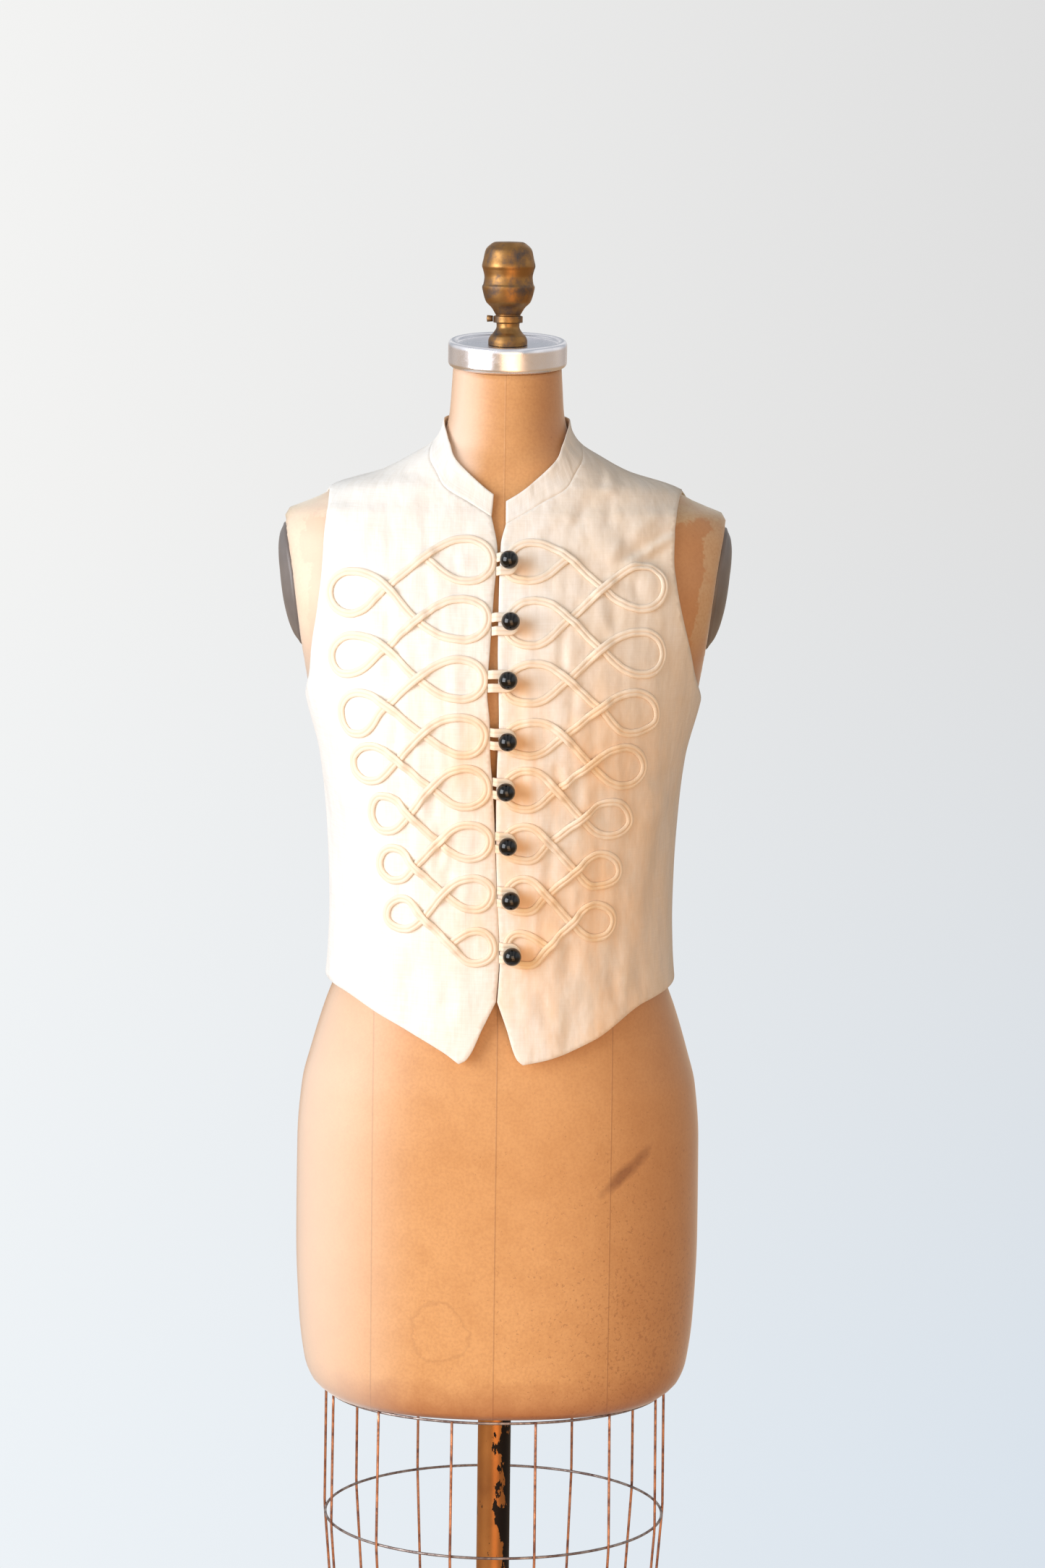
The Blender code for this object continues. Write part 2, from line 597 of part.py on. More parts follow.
def collar(material, rows=2):
    """The band collar: the trunk's own surface between the neck seam and the band's top edge."""
    table = np.array(COLLAR)
    first = angle_at(VEST_SECTIONS, *CENTRE_EDGE["right"][0])
    last = 2 * pi - angle_at(VEST_SECTIONS, *CENTRE_EDGE["left"][0])
    angle = np.concatenate(
        [
            np.linspace(first, pi / 2, NECK_COLUMNS_FRONT + 1),
            np.linspace(pi / 2, 3 * pi / 2, NECK_COLUMNS_BACK + 1)[1:],
            np.linspace(3 * pi / 2, last, NECK_COLUMNS_FRONT + 1)[1:],
        ]
    )
    columns = len(angle) - 1
    folded = pi - np.abs(pi - angle)
    low = to_run(smooth(np.radians(table[:, 0]), table[:, 1], folded)) + SEAM_GAP / 2
    high = to_run(smooth(np.radians(table[:, 0]), table[:, 2], folded))
    v = np.linspace(0, 1, rows + 1)[:, None]
    grid = np.stack([np.broadcast_to(angle, (rows + 1, columns + 1)), (1 - v) * low + v * high], axis=-1)
    outer, normal = panel_points("collar", grid, 0)
    outer = outer + normal * (v**2 * 1.0 * MM)[..., None]
    triangles = []
    for j in range(rows):
        for i in range(columns):
            a = j * (columns + 1) + i
            triangles += [(a, a + 1, a + columns + 2), (a, a + columns + 2, a + columns + 1)]
    return wall("collar", outer.reshape(-1, 3), normal.reshape(-1, 3), triangles, material)


def surface_tree(piece):
    """A tree of a piece's faces, to find its outer face along a line."""
    points = [v.co.copy() for v in piece.data.vertices]
    return BVHTree.FromPolygons(points, [tuple(p.vertices) for p in piece.data.polygons])


def on_front(tree, x, height):
    """Where a level line from the front meets a panel or, past its edge, the vest's smooth front."""
    hit, normal, _, _ = tree.ray_cast(Vector((x, -1, height)), Vector((0, 1, 0)))
    if hit is None or normal.y > -0.05:
        angle = angle_at(VEST_SECTIONS, x, height) * (1 if x > 0 else -1)
        return Vector(trunk(VEST_SECTIONS, angle, np.array(height)))
    return hit


def front_normal(x, height):
    """Outward direction of the vest's smooth front at a point seen from the front."""
    angle = angle_at(VEST_SECTIONS, x, height) * (1 if x > 0 else -1)
    base = Vector(trunk(VEST_SECTIONS, angle, np.array(height)))
    across = Vector(trunk(VEST_SECTIONS, angle + 0.02, np.array(height))) - base
    upward = Vector(trunk(VEST_SECTIONS, angle, np.array(height + 0.004))) - base
    return across.cross(upward).normalized()


def unit(vector):
    """A flat direction of length one."""
    vector = np.array(vector, float)
    return vector / np.linalg.norm(vector)


def braid_nodes(rows, width):
    """The centre line of one side's braid as (x, height, direction x, direction height, crossing) nodes.

    Crossing is +1 where the braid passes over itself, -1 where it passes under and 0 elsewhere.
    """
    half = width / 2
    nodes = []

    def put(point, direction, crossing=0):
        nodes.append((*point, *unit(direction), crossing))

    tips = [np.array([r[4] * MM, r[5]]) for r in rows]
    came = tips[0] + np.array([0.020, 0.016])
    for k, r in enumerate(rows):
        near = np.array([r[0] * MM + half, r[1]])
        top = np.array([r[2] * MM, r[3] - half])
        bottom = np.array([r[6] * MM, r[7] + half])
        last = len(r) == 8
        tip = tips[k]
        put(tip, unit(tip - came) + 0.6 * unit(bottom - tip), 1 if last else -1)
        put(bottom, (-1, 0))
        put(near, (0, 1))
        put(top, (1, 0))
        if last:
            put(tip, unit(tip - top) + np.array([0, -0.2]), -1)
            break
        cross = np.array([r[8] * MM, r[9]])
        outer_top = np.array([r[10] * MM, r[11] - half])
        far = np.array([r[12] * MM - half, r[13]])
        outer_bottom = np.array([r[14] * MM, r[15] + half])
        put(tip, unit(cross - tip) + 0.25 * unit(tip - top), 1)
        put(cross, unit(cross - tip) + 0.25 * unit(outer_bottom - cross), -1)
        put(outer_bottom, (1, 0))
        put(far, (0, 1))
        put(outer_top, (-1, 0))
        put(cross, unit(tips[k + 1] - cross) + 0.25 * unit(cross - outer_top), 1)
        came = cross
    return nodes


def braid_line(nodes):
    """A fine line of (x, height) points through the nodes, and the run at each crossing."""
    line, crossings, run = [], [], 0.0
    u = np.linspace(0, 1, 25)[:, None]
    for k, (x0, z0, a0, b0, kind) in enumerate(nodes):
        if kind:
            crossings.append((run, kind))
        if k == len(nodes) - 1:
            break
        x1, z1, a1, b1, _ = nodes[k + 1]
        p, q = np.array([x0, z0]), np.array([x1, z1])
        pull = 1.17 * np.linalg.norm(q - p)
        piece = (
            (1 + 2 * u) * (1 - u) ** 2 * p
            + u * (1 - u) ** 2 * pull * np.array([a0, b0])
            + u**2 * (3 - 2 * u) * q
            + u**2 * (u - 1) * pull * np.array([a1, b1])
        )
        run += np.linalg.norm(np.diff(piece, axis=0), axis=1).sum()
        line.append(piece if k == 0 else piece[1:])
    return np.concatenate(line), crossings


def braid(side, panel, rows, material, width=BRAID_WIDTH, thick=BRAID_THICK):
    """One side's looped braid: a flat band carried along its line on the panel's own faces."""
    line, crossings = braid_line(braid_nodes(rows, width))
    run = np.concatenate(([0], np.cumsum(np.linalg.norm(np.diff(line, axis=0), axis=1))))
    step = np.gradient(line, run, axis=0)
    heading = np.unwrap(np.arctan2(step[:, 1], step[:, 0]))
    turned = np.concatenate(([0], np.cumsum(np.abs(np.diff(heading)))))
    fixed = {0.0, run[-1]}
    for place, kind in crossings:
        if kind > 0:
            for away in (-CROSS_FLAT - CROSS_RAMP, -CROSS_FLAT, CROSS_FLAT, CROSS_FLAT + CROSS_RAMP):
                if 0 < place + away < run[-1]:
                    fixed.add(place + away)
    fixed = sorted(fixed)
    wanted = []
    for a, b in zip(fixed, fixed[1:]):
        turn_here = np.interp(b, run, turned) - np.interp(a, run, turned)
        count = max(1, ceil((b - a) / BRAID_STEP), ceil(turn_here / BRAID_TURN))
        wanted += list(np.linspace(a, b, count + 1)[:-1])
    wanted.append(fixed[-1])
    tree = surface_tree(panel)
    turn = 1 if side == "right" else -1
    points, faces = [], []
    for place in wanted:
        x, z = np.interp(place, run, line[:, 0]), np.interp(place, run, line[:, 1])
        dx, dz = np.interp(place, run, step[:, 0]), np.interp(place, run, step[:, 1])
        rise = BRAID_LIFT
        for at, kind in crossings:
            if kind > 0:
                share = (CROSS_FLAT + CROSS_RAMP - abs(place - at)) / CROSS_RAMP
                rise = max(rise, BRAID_LIFT + CROSS_RISE * min(1.0, max(0.0, share)))
        middle = on_front(tree, x * turn, z)
        ahead = on_front(tree, (x + dx * 0.002) * turn, z + dz * 0.002)
        normal = front_normal(x * turn, z)
        forward = (ahead - middle).normalized()
        sideways = forward.cross(normal).normalized()
        for off, up in ((-0.5, 0), (0.5, 0), (BRAID_TOP_HALF, 1), (-BRAID_TOP_HALF, 1)):
            foot = tree.find_nearest(middle + sideways * off * width + normal * MM)[0]
            points.append(foot + normal * (rise + up * thick))
    for k in range(len(wanted) - 1):
        a, b = 4 * k, 4 * k + 4
        for i in range(4):
            j = (i + 1) % 4
            faces += [(a + i, a + j, b + j), (a + i, b + j, b + i)]
    end = 4 * (len(wanted) - 1)
    faces += [(3, 2, 1, 0), (end, end + 1, end + 2, end + 3)]
    return add("braid_" + side, points, faces, material, False)


def button_loops(panel, material):
    """Flat loops from the left front's edge to the buttons: two bands and a round end about the shank."""
    tree = surface_tree(panel)
    edge = np.array(CENTRE_EDGE["left"])[::-1]
    loops = []
    for k, (x, z) in enumerate(BUTTONS):
        start = float(np.interp(z, edge[:, 1], edge[:, 0])) + BUTTON_LOOP_START
        lead = [start, start + BUTTON_LOOP_LEAD, x - BUTTON_LOOP_SHORT]
        path = [(p, z + BUTTON_LOOP_HALF) for p in lead]
        path += [
            (x + BUTTON_LOOP_HALF * sin(a), z + BUTTON_LOOP_HALF * cos(a))
            for a in np.linspace(radians(20), radians(160), 6)
        ]
        path += [(p, z - BUTTON_LOOP_HALF) for p in lead[::-1]]
        path = np.array(path)
        step = np.gradient(path, axis=0)
        step[[0, 1, -2, -1]] = [(1, 0), (1, 0), (-1, 0), (-1, 0)]
        step /= np.linalg.norm(step, axis=1)[:, None]
        points, faces = [], []
        for j, ((px, pz), (dx, dz)) in enumerate(zip(path, step)):
            low = BUTTON_LOOP_SEAT if j in (0, len(path) - 1) else BUTTON_LOOP_UNDER
            for off, up in ((-0.5, 0), (0.5, 0), (0.5, 1), (-0.5, 1)):
                qx, qz = px + dz * off * BUTTON_LOOP_BAND, pz - dx * off * BUTTON_LOOP_BAND
                foot = on_front(tree, max(qx, 0.0012), qz)
                foot.x = qx
                points.append(foot + front_normal(x, z) * (low + up * BUTTON_LOOP_THICK))
        for j in range(len(path) - 1):
            a, b = 4 * j, 4 * j + 4
            for i in range(4):
                n = (i + 1) % 4
                faces += [(a + i, b + n, a + n), (a + i, b + i, b + n)]
        end = 4 * (len(path) - 1)
        faces += [(0, 1, 2, 3), (end + 3, end + 2, end + 1, end)]
        loops.append(add(f"button_loop_{k + 1}", points, faces, material))
    return loops


def lathe(name, profile, around, material, middle_y=0.0):
    """A turned piece from a profile of (radius, height) pairs, closed on its axis at both ends."""
    points, faces, rings = [], [], []
    for radius, height in profile:
        if radius == 0:
            rings.append([len(points)])
            points.append((0.0, middle_y, height))
            continue
        ring = []
        for i in range(around):
            a = 2 * pi * i / around
            ring.append(len(points))
            points.append((radius * cos(a), middle_y + radius * sin(a), height))
        rings.append(ring)
    for low, high in zip(rings, rings[1:]):
        for i in range(around):
            j = (i + 1) % around
            if len(low) == 1:
                faces.append((low[0], high[j], high[i]))
            elif len(high) == 1:
                faces.append((low[i], low[j], high[0]))
            else:
                faces += [(low[i], low[j], high[j]), (low[i], high[j], high[i])]
    return add(name, points, faces, material, True)


def buttons(panel, braid_piece, material, around=12, rings=8):
    """Ball buttons square to the front, each on a short shank down to the braid or the cloth."""
    trees = [surface_tree(panel), surface_tree(braid_piece)]
    made = []
    for k, (x, z) in enumerate(BUTTONS):
        base = on_front(trees[0], max(x, 0.002), z)
        out = front_normal(x, z)
        across = Vector((0, 0, 1)).cross(out).normalized()
        upward = out.cross(across)
        seat = 0.0
        for tree in trees:
            for i in range(9):
                a = 2 * pi * i / 8
                reach = 0 if i == 8 else SHANK_RADIUS
                start = base + out * 0.05 + (across * cos(a) + upward * sin(a)) * reach
                hit = tree.ray_cast(start, -out)[0]
                if hit is not None:
                    seat = max(seat, (hit - base).dot(out))
        seat += SEAM_GAP
        middle = BUTTON_STAND + BUTTON_RADIUS
        first = np.arcsin(SHANK_RADIUS / BUTTON_RADIUS)
        profile = [(0.0, seat), (SHANK_RADIUS, seat)]
        for a in np.linspace(first, pi, rings)[:-1]:
            profile.append((BUTTON_RADIUS * sin(a), middle - BUTTON_RADIUS * cos(a)))
        profile.append((0.0, middle + BUTTON_RADIUS))
        piece = lathe(f"button_{k + 1}", profile, around, material)
        for vertex in piece.data.vertices:
            r1, r2, up = vertex.co
            vertex.co = base + across * r1 + upward * r2 + out * up
        made.append(piece)
    return made


def arm_plane(height):
    """Distance from the centre of the flat arm end at a height."""
    low, high = ARM_END_BEND
    share = min(1.0, max(0.0, (height - low) / (high - low)))
    return ARM_END_OUT - ARM_END_LEAN * (ARM_END_AT - height) + ARM_END_FLARE * share


def tilted(point):
    """A point of the form's neck, sloped forward with the cap: nothing below the start, all at the top."""
    x, y, z = point
    share = min(1.0, max(0.0, (z - TILT_START) / (FORM_SECTIONS[-1][0] - TILT_START)))
    return (x, y, z + (y - CAP_MIDDLE) * tan(CAP_TILT) * share**2 * (3 - 2 * share))


def form_body(material, around=28):
    """The form's trunk: rings up to the neck, cut flat at the arms, closed at the neck and the base."""
    heights = [row[0] for row in FORM_SECTIONS]
    between = [(a + b) / 2 for a, b in zip(heights, heights[1:]) if 1.40 < a < 1.48]
    heights = sorted(heights + between)
    points, rings = [], []
    for height in heights:
        angle = np.linspace(0, 2 * pi, around, endpoint=False) + pi / around
        ring = trunk(FORM_SECTIONS, angle, np.array(height))
        if 1.25 < height < 1.43:
            limit = arm_plane(height)
            ring[:, 0] = np.clip(ring[:, 0], -limit, limit)
        rings.append(list(range(len(points), len(points) + around)))
        points += [tilted(p) for p in ring]
    faces = []
    for low, high in zip(rings, rings[1:]):
        for i in range(around):
            j = (i + 1) % around
            faces += [(low[i], low[j], high[j]), (low[i], high[j], high[i])]
    for ring, height, up in ((rings[0], heights[0], False), (rings[-1], heights[-1], True)):
        centre = len(points)
        points.append(tilted((0.0, 0.0, height)))
        for i in range(around):
            j = (i + 1) % around
            faces.append((ring[i], ring[j], centre) if up else (ring[j], ring[i], centre))
    return add("form_body", points, faces, material, True)


def arm_plate(side, material, around=20):
    """A shallow oval dome over the flat arm end."""
    turn = 1 if side == "right" else -1
    points, faces, rows = [], [], []

    def place(share, a, out):
        y = ARM_PLATE_BACK + ARM_PLATE_DEPTH * share * cos(a)
        z = ARM_PLATE_MIDDLE + ARM_PLATE_HEIGHT * share * sin(a)
        return (turn * (arm_plane(z) + out), y, z)

    first = len(points)
    points.append(place(0, 0, ARM_PLATE_RINGS[0][1]))
    for share, out in ARM_PLATE_RINGS:
        rows.append(list(range(len(points), len(points) + around)))
        points += [place(share, 2 * pi * i / around, out) for i in range(around)]
    last = len(points)
    points.append(place(0, 0, ARM_PLATE_TOP))
    for i in range(around):
        j = (i + 1) % around
        faces.append((first, rows[0][j], rows[0][i]))
        faces.append((last, rows[-1][i], rows[-1][j]))
        for low, high in zip(rows, rows[1:]):
            faces += [(low[i], low[j], high[j]), (low[i], high[j], high[i])]
    if turn < 0:
        faces = [f[::-1] for f in faces]
    return add("arm_plate_" + side, points, faces, material, True)


def wire_ring(name, height, half, depth, middle_y, material, around=3 * CAGE_WIRES):
    """A closed wire ring of oval plan, four-sided in section."""
    radius = WIRE / 2
    points, faces = [], []
    for i in range(around):
        a = 2 * pi * (i + 0.5) / around
        out = Vector((sin(a) / half, -cos(a) / depth, 0)).normalized()
        centre = Vector((half * sin(a), middle_y - depth * cos(a), height))
        for side, up in ((1, 0), (0, 1), (-1, 0), (0, -1)):
            points.append(centre + out * side * radius + Vector((0, 0, up * radius)))
    for i in range(around):
        a, b = 4 * i, 4 * ((i + 1) % around)
        for k in range(4):
            n = (k + 1) % 4
            faces += [(a + k, b + k, b + n), (a + k, b + n, a + n)]
    return add(name, points, faces, material)


def cage_point(angle, height, outward):
    """A point of the cage's outline at a height, moved outward."""
    rings = sorted(CAGE_RINGS, key=lambda r: r[1])
    heights = [r[1] for r in rings]
    half = float(np.interp(height, heights, [r[2] for r in rings]))
    depth = float(np.interp(height, heights, [r[3] for r in rings]))
    out = Vector((sin(angle) / half, -cos(angle) / depth, 0)).normalized()
    return Vector((half * sin(angle), rings[0][4] - depth * cos(angle), height)) + out * outward


def cage_wire(name, angle, material):
    """One upright wire outside the rings, four-sided in section."""
    radius = WIRE / 2
    outward = WIRE + SEAM_GAP
    heights = (CAGE_RINGS[2][1] - 0.004, CAGE_RINGS[1][1], CAGE_RINGS[0][1] + 0.001)
    points, faces = [], []
    out = Vector((sin(angle), -cos(angle), 0))
    along = Vector((cos(angle), sin(angle), 0))
    for height in heights:
        centre = cage_point(angle, height, outward)
        for a, b in ((1, 0), (0, 1), (-1, 0), (0, -1)):
            points.append(centre + out * a * radius + along * b * radius)
    for j in range(len(heights) - 1):
        a, b = 4 * j, 4 * j + 4
        for k in range(4):
            n = (k + 1) % 4
            faces += [(a + k, a + n, b + n), (a + k, b + n, b + k)]
    end = 4 * (len(heights) - 1)
    faces += [(3, 2, 1, 0), (end, end + 1, end + 2, end + 3)]
    return add(name, points, faces, material)


def main():
    for piece in list(bpy.data.objects):
        bpy.data.objects.remove(piece, do_unlink=True)

    linen = paint("ivory_linen", (0.95, 0.93, 0.88), 0.85)
    braid_cotton = paint("cream_braid", (0.96, 0.88, 0.78), 0.8)
    black = paint("black_gloss", (0.02, 0.02, 0.025), 0.12)
    canvas = paint("tan_canvas", (0.85, 0.62, 0.38), 0.8)
    aluminium = paint("aluminium", (0.80, 0.80, 0.80), 0.3, 1.0)
    brass = paint("aged_brass", (0.72, 0.56, 0.30), 0.35, 1.0)
    grey = paint("grey_plate", (0.55, 0.55, 0.53), 0.6)
    wire = paint("rusty_wire", (0.60, 0.42, 0.32), 0.45, 1.0)
    pole = paint("worn_pole", (0.45, 0.32, 0.18), 0.45, 0.6)
    iron = paint("black_iron", (0.08, 0.08, 0.08), 0.5, 0.6)

    right = front_panel("right", linen)
    left = front_panel("left", linen)
    back_panel(linen)
    collar(linen)
    right_braid = braid("right", right, BRAID["right"], braid_cotton)
    braid("left", left, BRAID["left"], braid_cotton)
    button_loops(right, braid_cotton)
    buttons(right, right_braid, black)

    form_body(canvas)
    for side in ("right", "left"):
        arm_plate(side, grey)
    cap = lathe("neck_cap", [(r, CAP_SEAT + up) for r, up in NECK_CAP], 24, aluminium, CAP_MIDDLE)
    for vertex in cap.data.vertices:
        x, y, z = vertex.co
        along, up = y - CAP_MIDDLE, z - CAP_SEAT
        y = CAP_MIDDLE + along * cos(CAP_TILT) - up * sin(CAP_TILT)
        z = CAP_SEAT + along * sin(CAP_TILT) + up * cos(CAP_TILT)
        vertex.co = (x, y, z)
    knob = lathe("knob", [(r, KNOB_SEAT + up) for r, up in KNOB], 16, brass, CAP_MIDDLE)
    for vertex in knob.data.vertices:
        if vertex.co.z < KNOB_SEAT + KNOB_FOOT:
            vertex.co.z += (vertex.co.y - CAP_MIDDLE) * tan(CAP_TILT)
    screw = lathe("thumb_screw", THUMB_SCREW, 8, brass)
    for vertex in screw.data.vertices:
        across, along, out = vertex.co
        vertex.co = (-out, CAP_MIDDLE + along, SCREW_HEIGHT + across)

    pole_ends = (BASE_HEIGHT + SEAM_GAP, BODY_BOTTOM - SEAM_GAP)
    pole_profile = (
        (0.0, pole_ends[0]), (POLE_RADIUS, pole_ends[0]), (POLE_RADIUS, pole_ends[1]), (0.0, pole_ends[1]),
    )
    lathe("pole", pole_profile, 20, pole)
    lathe("stand_base", STAND_BASE, 32, iron)
    for name, height, half, depth, middle_y in CAGE_RINGS:
        wire_ring(name, height, half, depth, middle_y, wire)
    for k in range(CAGE_WIRES):
        cage_wire(f"cage_wire_{k + 1:02d}", 2 * pi * (k + 0.5) / CAGE_WIRES, wire)


main()
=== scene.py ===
# %% [markdown]
# # A linen vest with looped braid, on an old dress form
# This lesson dresses a imported CAD model for a picture. The CAD model, the frame, holds the true
# sizes: a short sleeveless vest, the form that it rests on, and the form's stand. Each soft or
# round solid is made again here with far more points, on the same sizes, and gets the finish of
# its real material.

# %% Load the frame
from math import cos, pi, radians, sin, tan

import bpy
import numpy as np
from mathutils import Matrix, Vector
from mathutils.geometry import delaunay_2d_cdt


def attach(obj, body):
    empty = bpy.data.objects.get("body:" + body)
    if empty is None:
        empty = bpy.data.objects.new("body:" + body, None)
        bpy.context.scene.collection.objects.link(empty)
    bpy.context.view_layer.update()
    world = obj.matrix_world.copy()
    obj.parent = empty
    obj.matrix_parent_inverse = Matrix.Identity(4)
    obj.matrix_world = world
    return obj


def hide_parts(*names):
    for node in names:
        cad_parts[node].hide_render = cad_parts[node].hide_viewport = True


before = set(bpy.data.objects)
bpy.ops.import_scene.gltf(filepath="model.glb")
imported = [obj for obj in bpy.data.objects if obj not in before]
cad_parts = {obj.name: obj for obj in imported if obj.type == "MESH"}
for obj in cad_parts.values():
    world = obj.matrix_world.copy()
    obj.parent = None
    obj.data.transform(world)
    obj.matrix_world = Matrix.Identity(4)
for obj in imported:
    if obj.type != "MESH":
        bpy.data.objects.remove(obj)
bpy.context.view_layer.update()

MM = 0.001

# %% [markdown]
# The camera comes first, because every later look is judged through it. A long lens from almost
# four metres keeps the form's sides upright. It looks down a little, and it is rolled by less
# than a degree, because the stand leans that much in the picture.

# %% The camera
LENS, LONG_SIDE = 100.0, 36.0
CAMERA_PLACE = (0.018, -3.837, 1.7435)
LOOK_DOWN, ROLL = radians(8.5), radians(0.75)

camera_data = bpy.data.cameras.new("camera")
camera_data.lens, camera_data.sensor_width = LENS, LONG_SIDE
camera = bpy.data.objects.new("camera", camera_data)
turned_down = Matrix.Rotation(pi / 2 - LOOK_DOWN, 4, "X") @ Matrix.Rotation(ROLL, 4, "Z")
camera.matrix_world = Matrix.Translation(CAMERA_PLACE) @ turned_down
bpy.context.collection.objects.link(camera)
bpy.context.scene.camera = camera
print("camera", LENS, "mm lens at", CAMERA_PLACE)

# %% [markdown]
# Colours are easy to name as the hex codes of a paint card, which are sRGB. Blender mixes light
# in linear values, so one function turns a code to linear. One more small function adds a node,
# sets it and links it, which keeps each material short enough to read.

# %% Colour, node and material helpers
def colour(code):
    """Linear red, green, blue and 1 from an sRGB hex code, by the sRGB curve."""
    parts = np.array([int(code[i : i + 2], 16) / 255 for i in (1, 3, 5)])
    linear = np.where(parts <= 0.04045, parts / 12.92, ((parts + 0.055) / 1.055) ** 2.4)
    return (*linear.tolist(), 1.0)


def node(tree, kind, inputs=(), out=0, **settings):
    """Adds one node, sets it, fills or links its inputs, and gives back one of its outputs."""
    made = tree.nodes.new("ShaderNode" + kind)
    for name, value in settings.items():
        setattr(made, name, value)
    for key, value in dict(inputs).items():
        if isinstance(value, bpy.types.NodeSocket):
            tree.links.new(value, made.inputs[key])
        else:
            made.inputs[key].default_value = value
    return made.outputs[out]


def finish_of(name, **values):
    """A new material, its node tree and its main shader with plain values set on it."""
    material = bpy.data.materials.new(name)
    material.use_nodes = True
    tree = material.node_tree
    shader = tree.nodes["Principled BSDF"]
    for key, value in values.items():
        shader.inputs[key.replace("_", " ")].default_value = value
    return material, tree, shader


def place_in(tree):
    """A point's own place, and that place's x, y and z."""
    place = node(tree, "TexCoord", out=3)
    parts = tree.nodes.new("ShaderNodeSeparateXYZ")
    tree.links.new(place, parts.inputs[0])
    return place, *parts.outputs


def linked(tree, shader, **outputs):
    """Links each output to the shader's input of that name."""
    for name, output in outputs.items():
        tree.links.new(output, shader.inputs[name.replace("_", " ")])


# Settings of a node that mixes colours, and of a range with soft ends
COLOURS = {"out": 2, "data_type": "RGBA"}
SOFT_ENDS = {"interpolation_type": "SMOOTHSTEP"}

# %% [markdown]
# Every piece is a mesh from whole arrays: points, and faces that index them. A ring of points
# carried along a path makes a tube, so one function joins ring to ring and closes the two ends.

# %% Mesh helpers
def piece(name, points, faces, flat=None, finish=None):
    """One smooth mesh object at the origin; flat holds each point's own place in the flat cloth."""
    mesh = bpy.data.meshes.new(name)
    mesh.from_pydata(np.asarray(points, float).reshape(-1, 3), [], faces)
    mesh.polygons.foreach_set("use_smooth", np.ones(len(mesh.polygons), bool))
    if flat is not None:
        corners = np.empty(len(mesh.loops), np.int32)
        mesh.loops.foreach_get("vertex_index", corners)
        layer = mesh.uv_layers.new(name="flat")
        layer.uv.foreach_set("vector", np.asarray(flat, np.float32).reshape(-1, 2)[corners].ravel())
    if finish:
        mesh.materials.append(finish)
    mesh.update()
    made = bpy.data.objects.new(name, mesh)
    bpy.context.collection.objects.link(made)
    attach(made, "root")
    return made


def grid_faces(rows, columns, round_across=False):
    """Four-sided faces of a grid of points, row after row, as an array of indices."""
    row = np.arange(rows - 1)[:, None] * columns
    across = np.arange(columns if round_across else columns - 1)[None]
    right = (across + 1) % columns
    after = row + columns
    return np.stack([row + across, row + right, after + right, after + across], -1).reshape(-1, 4)


def tube(name, rings, flat=None, finish=None, closed=False):
    """Rings of points joined in order; each open end is closed by a fan to the middle of its ring."""
    rows, around = rings.shape[:2]
    faces = grid_faces(rows, around, True).tolist()
    points = rings.reshape(-1, 3)
    side = np.arange(around)
    after = (side + 1) % around
    last = (rows - 1) * around
    if closed:
        faces += np.stack([last + side, last + after, after, side], -1).tolist()
    else:
        points = np.concatenate([points, rings[[0, -1]].mean(axis=1)])
        faces += np.stack([after, side, 0 * side + rows * around], -1).tolist()
        faces += np.stack([last + side, last + after, 0 * side + rows * around + 1], -1).tolist()
        if flat is not None:
            flat = np.concatenate([flat.reshape(-1, 2), flat[[0, -1]].mean(axis=1)])
    return piece(name, points, faces, flat, finish)


def smooth(places, values, wanted):
    """A curve through the values with no overshoot: cubic pieces, flat at each turn."""
    places = np.asarray(places, float)
    values = np.asarray(values, float)
    wanted = np.clip(np.asarray(wanted, float), places[0], places[-1])
    steps = np.diff(places)
    slopes = np.diff(values) / steps
    product = slopes[:-1] * slopes[1:]
    total = slopes[:-1] + slopes[1:]
    mean = np.where(product > 0, 2 * product / np.where(total == 0, 1, total), 0)
    tangents = np.concatenate(([slopes[0]], mean, [slopes[-1]]))
    place = np.clip(np.searchsorted(places, wanted, side="right") - 1, 0, len(steps) - 1)
    u = (wanted - places[place]) / steps[place]
    start = (1 + 2 * u) * (1 - u) ** 2 * values[place]
    leave = u * (1 - u) ** 2 * steps[place] * tangents[place]
    end = u**2 * (3 - 2 * u) * values[place + 1]
    arrive = u**2 * (u - 1) * steps[place] * tangents[place + 1]
    return start + leave + end + arrive


def run_of(points):
    """The distance run along a line of points, from its first."""
    return np.concatenate(([0], np.cumsum(np.linalg.norm(np.diff(points, axis=0), axis=1))))


def respaced(points, step):
    """A line of points at about equal steps, on smooth curves through the given ones."""
    run = run_of(points)
    wanted = np.linspace(0, run[-1], max(2, round(run[-1] / step) + 1))
    return np.stack([smooth(run, points[:, k], wanted) for k in range(points.shape[1])], axis=-1)


# %% [markdown]
# ## The trunk
# A dress form and a fitted vest are both close to a body, and a body's level cut is an oval that
# is a little square. So the whole surface is one function of two parameters, the angle round the
# body and the height. Tables give the oval's half width, its depth to the front and to the back
# and its squareness at some heights, and smooth curves give them between.

# %% Level sections of the form and of the vest
BODY_BOTTOM = 0.618
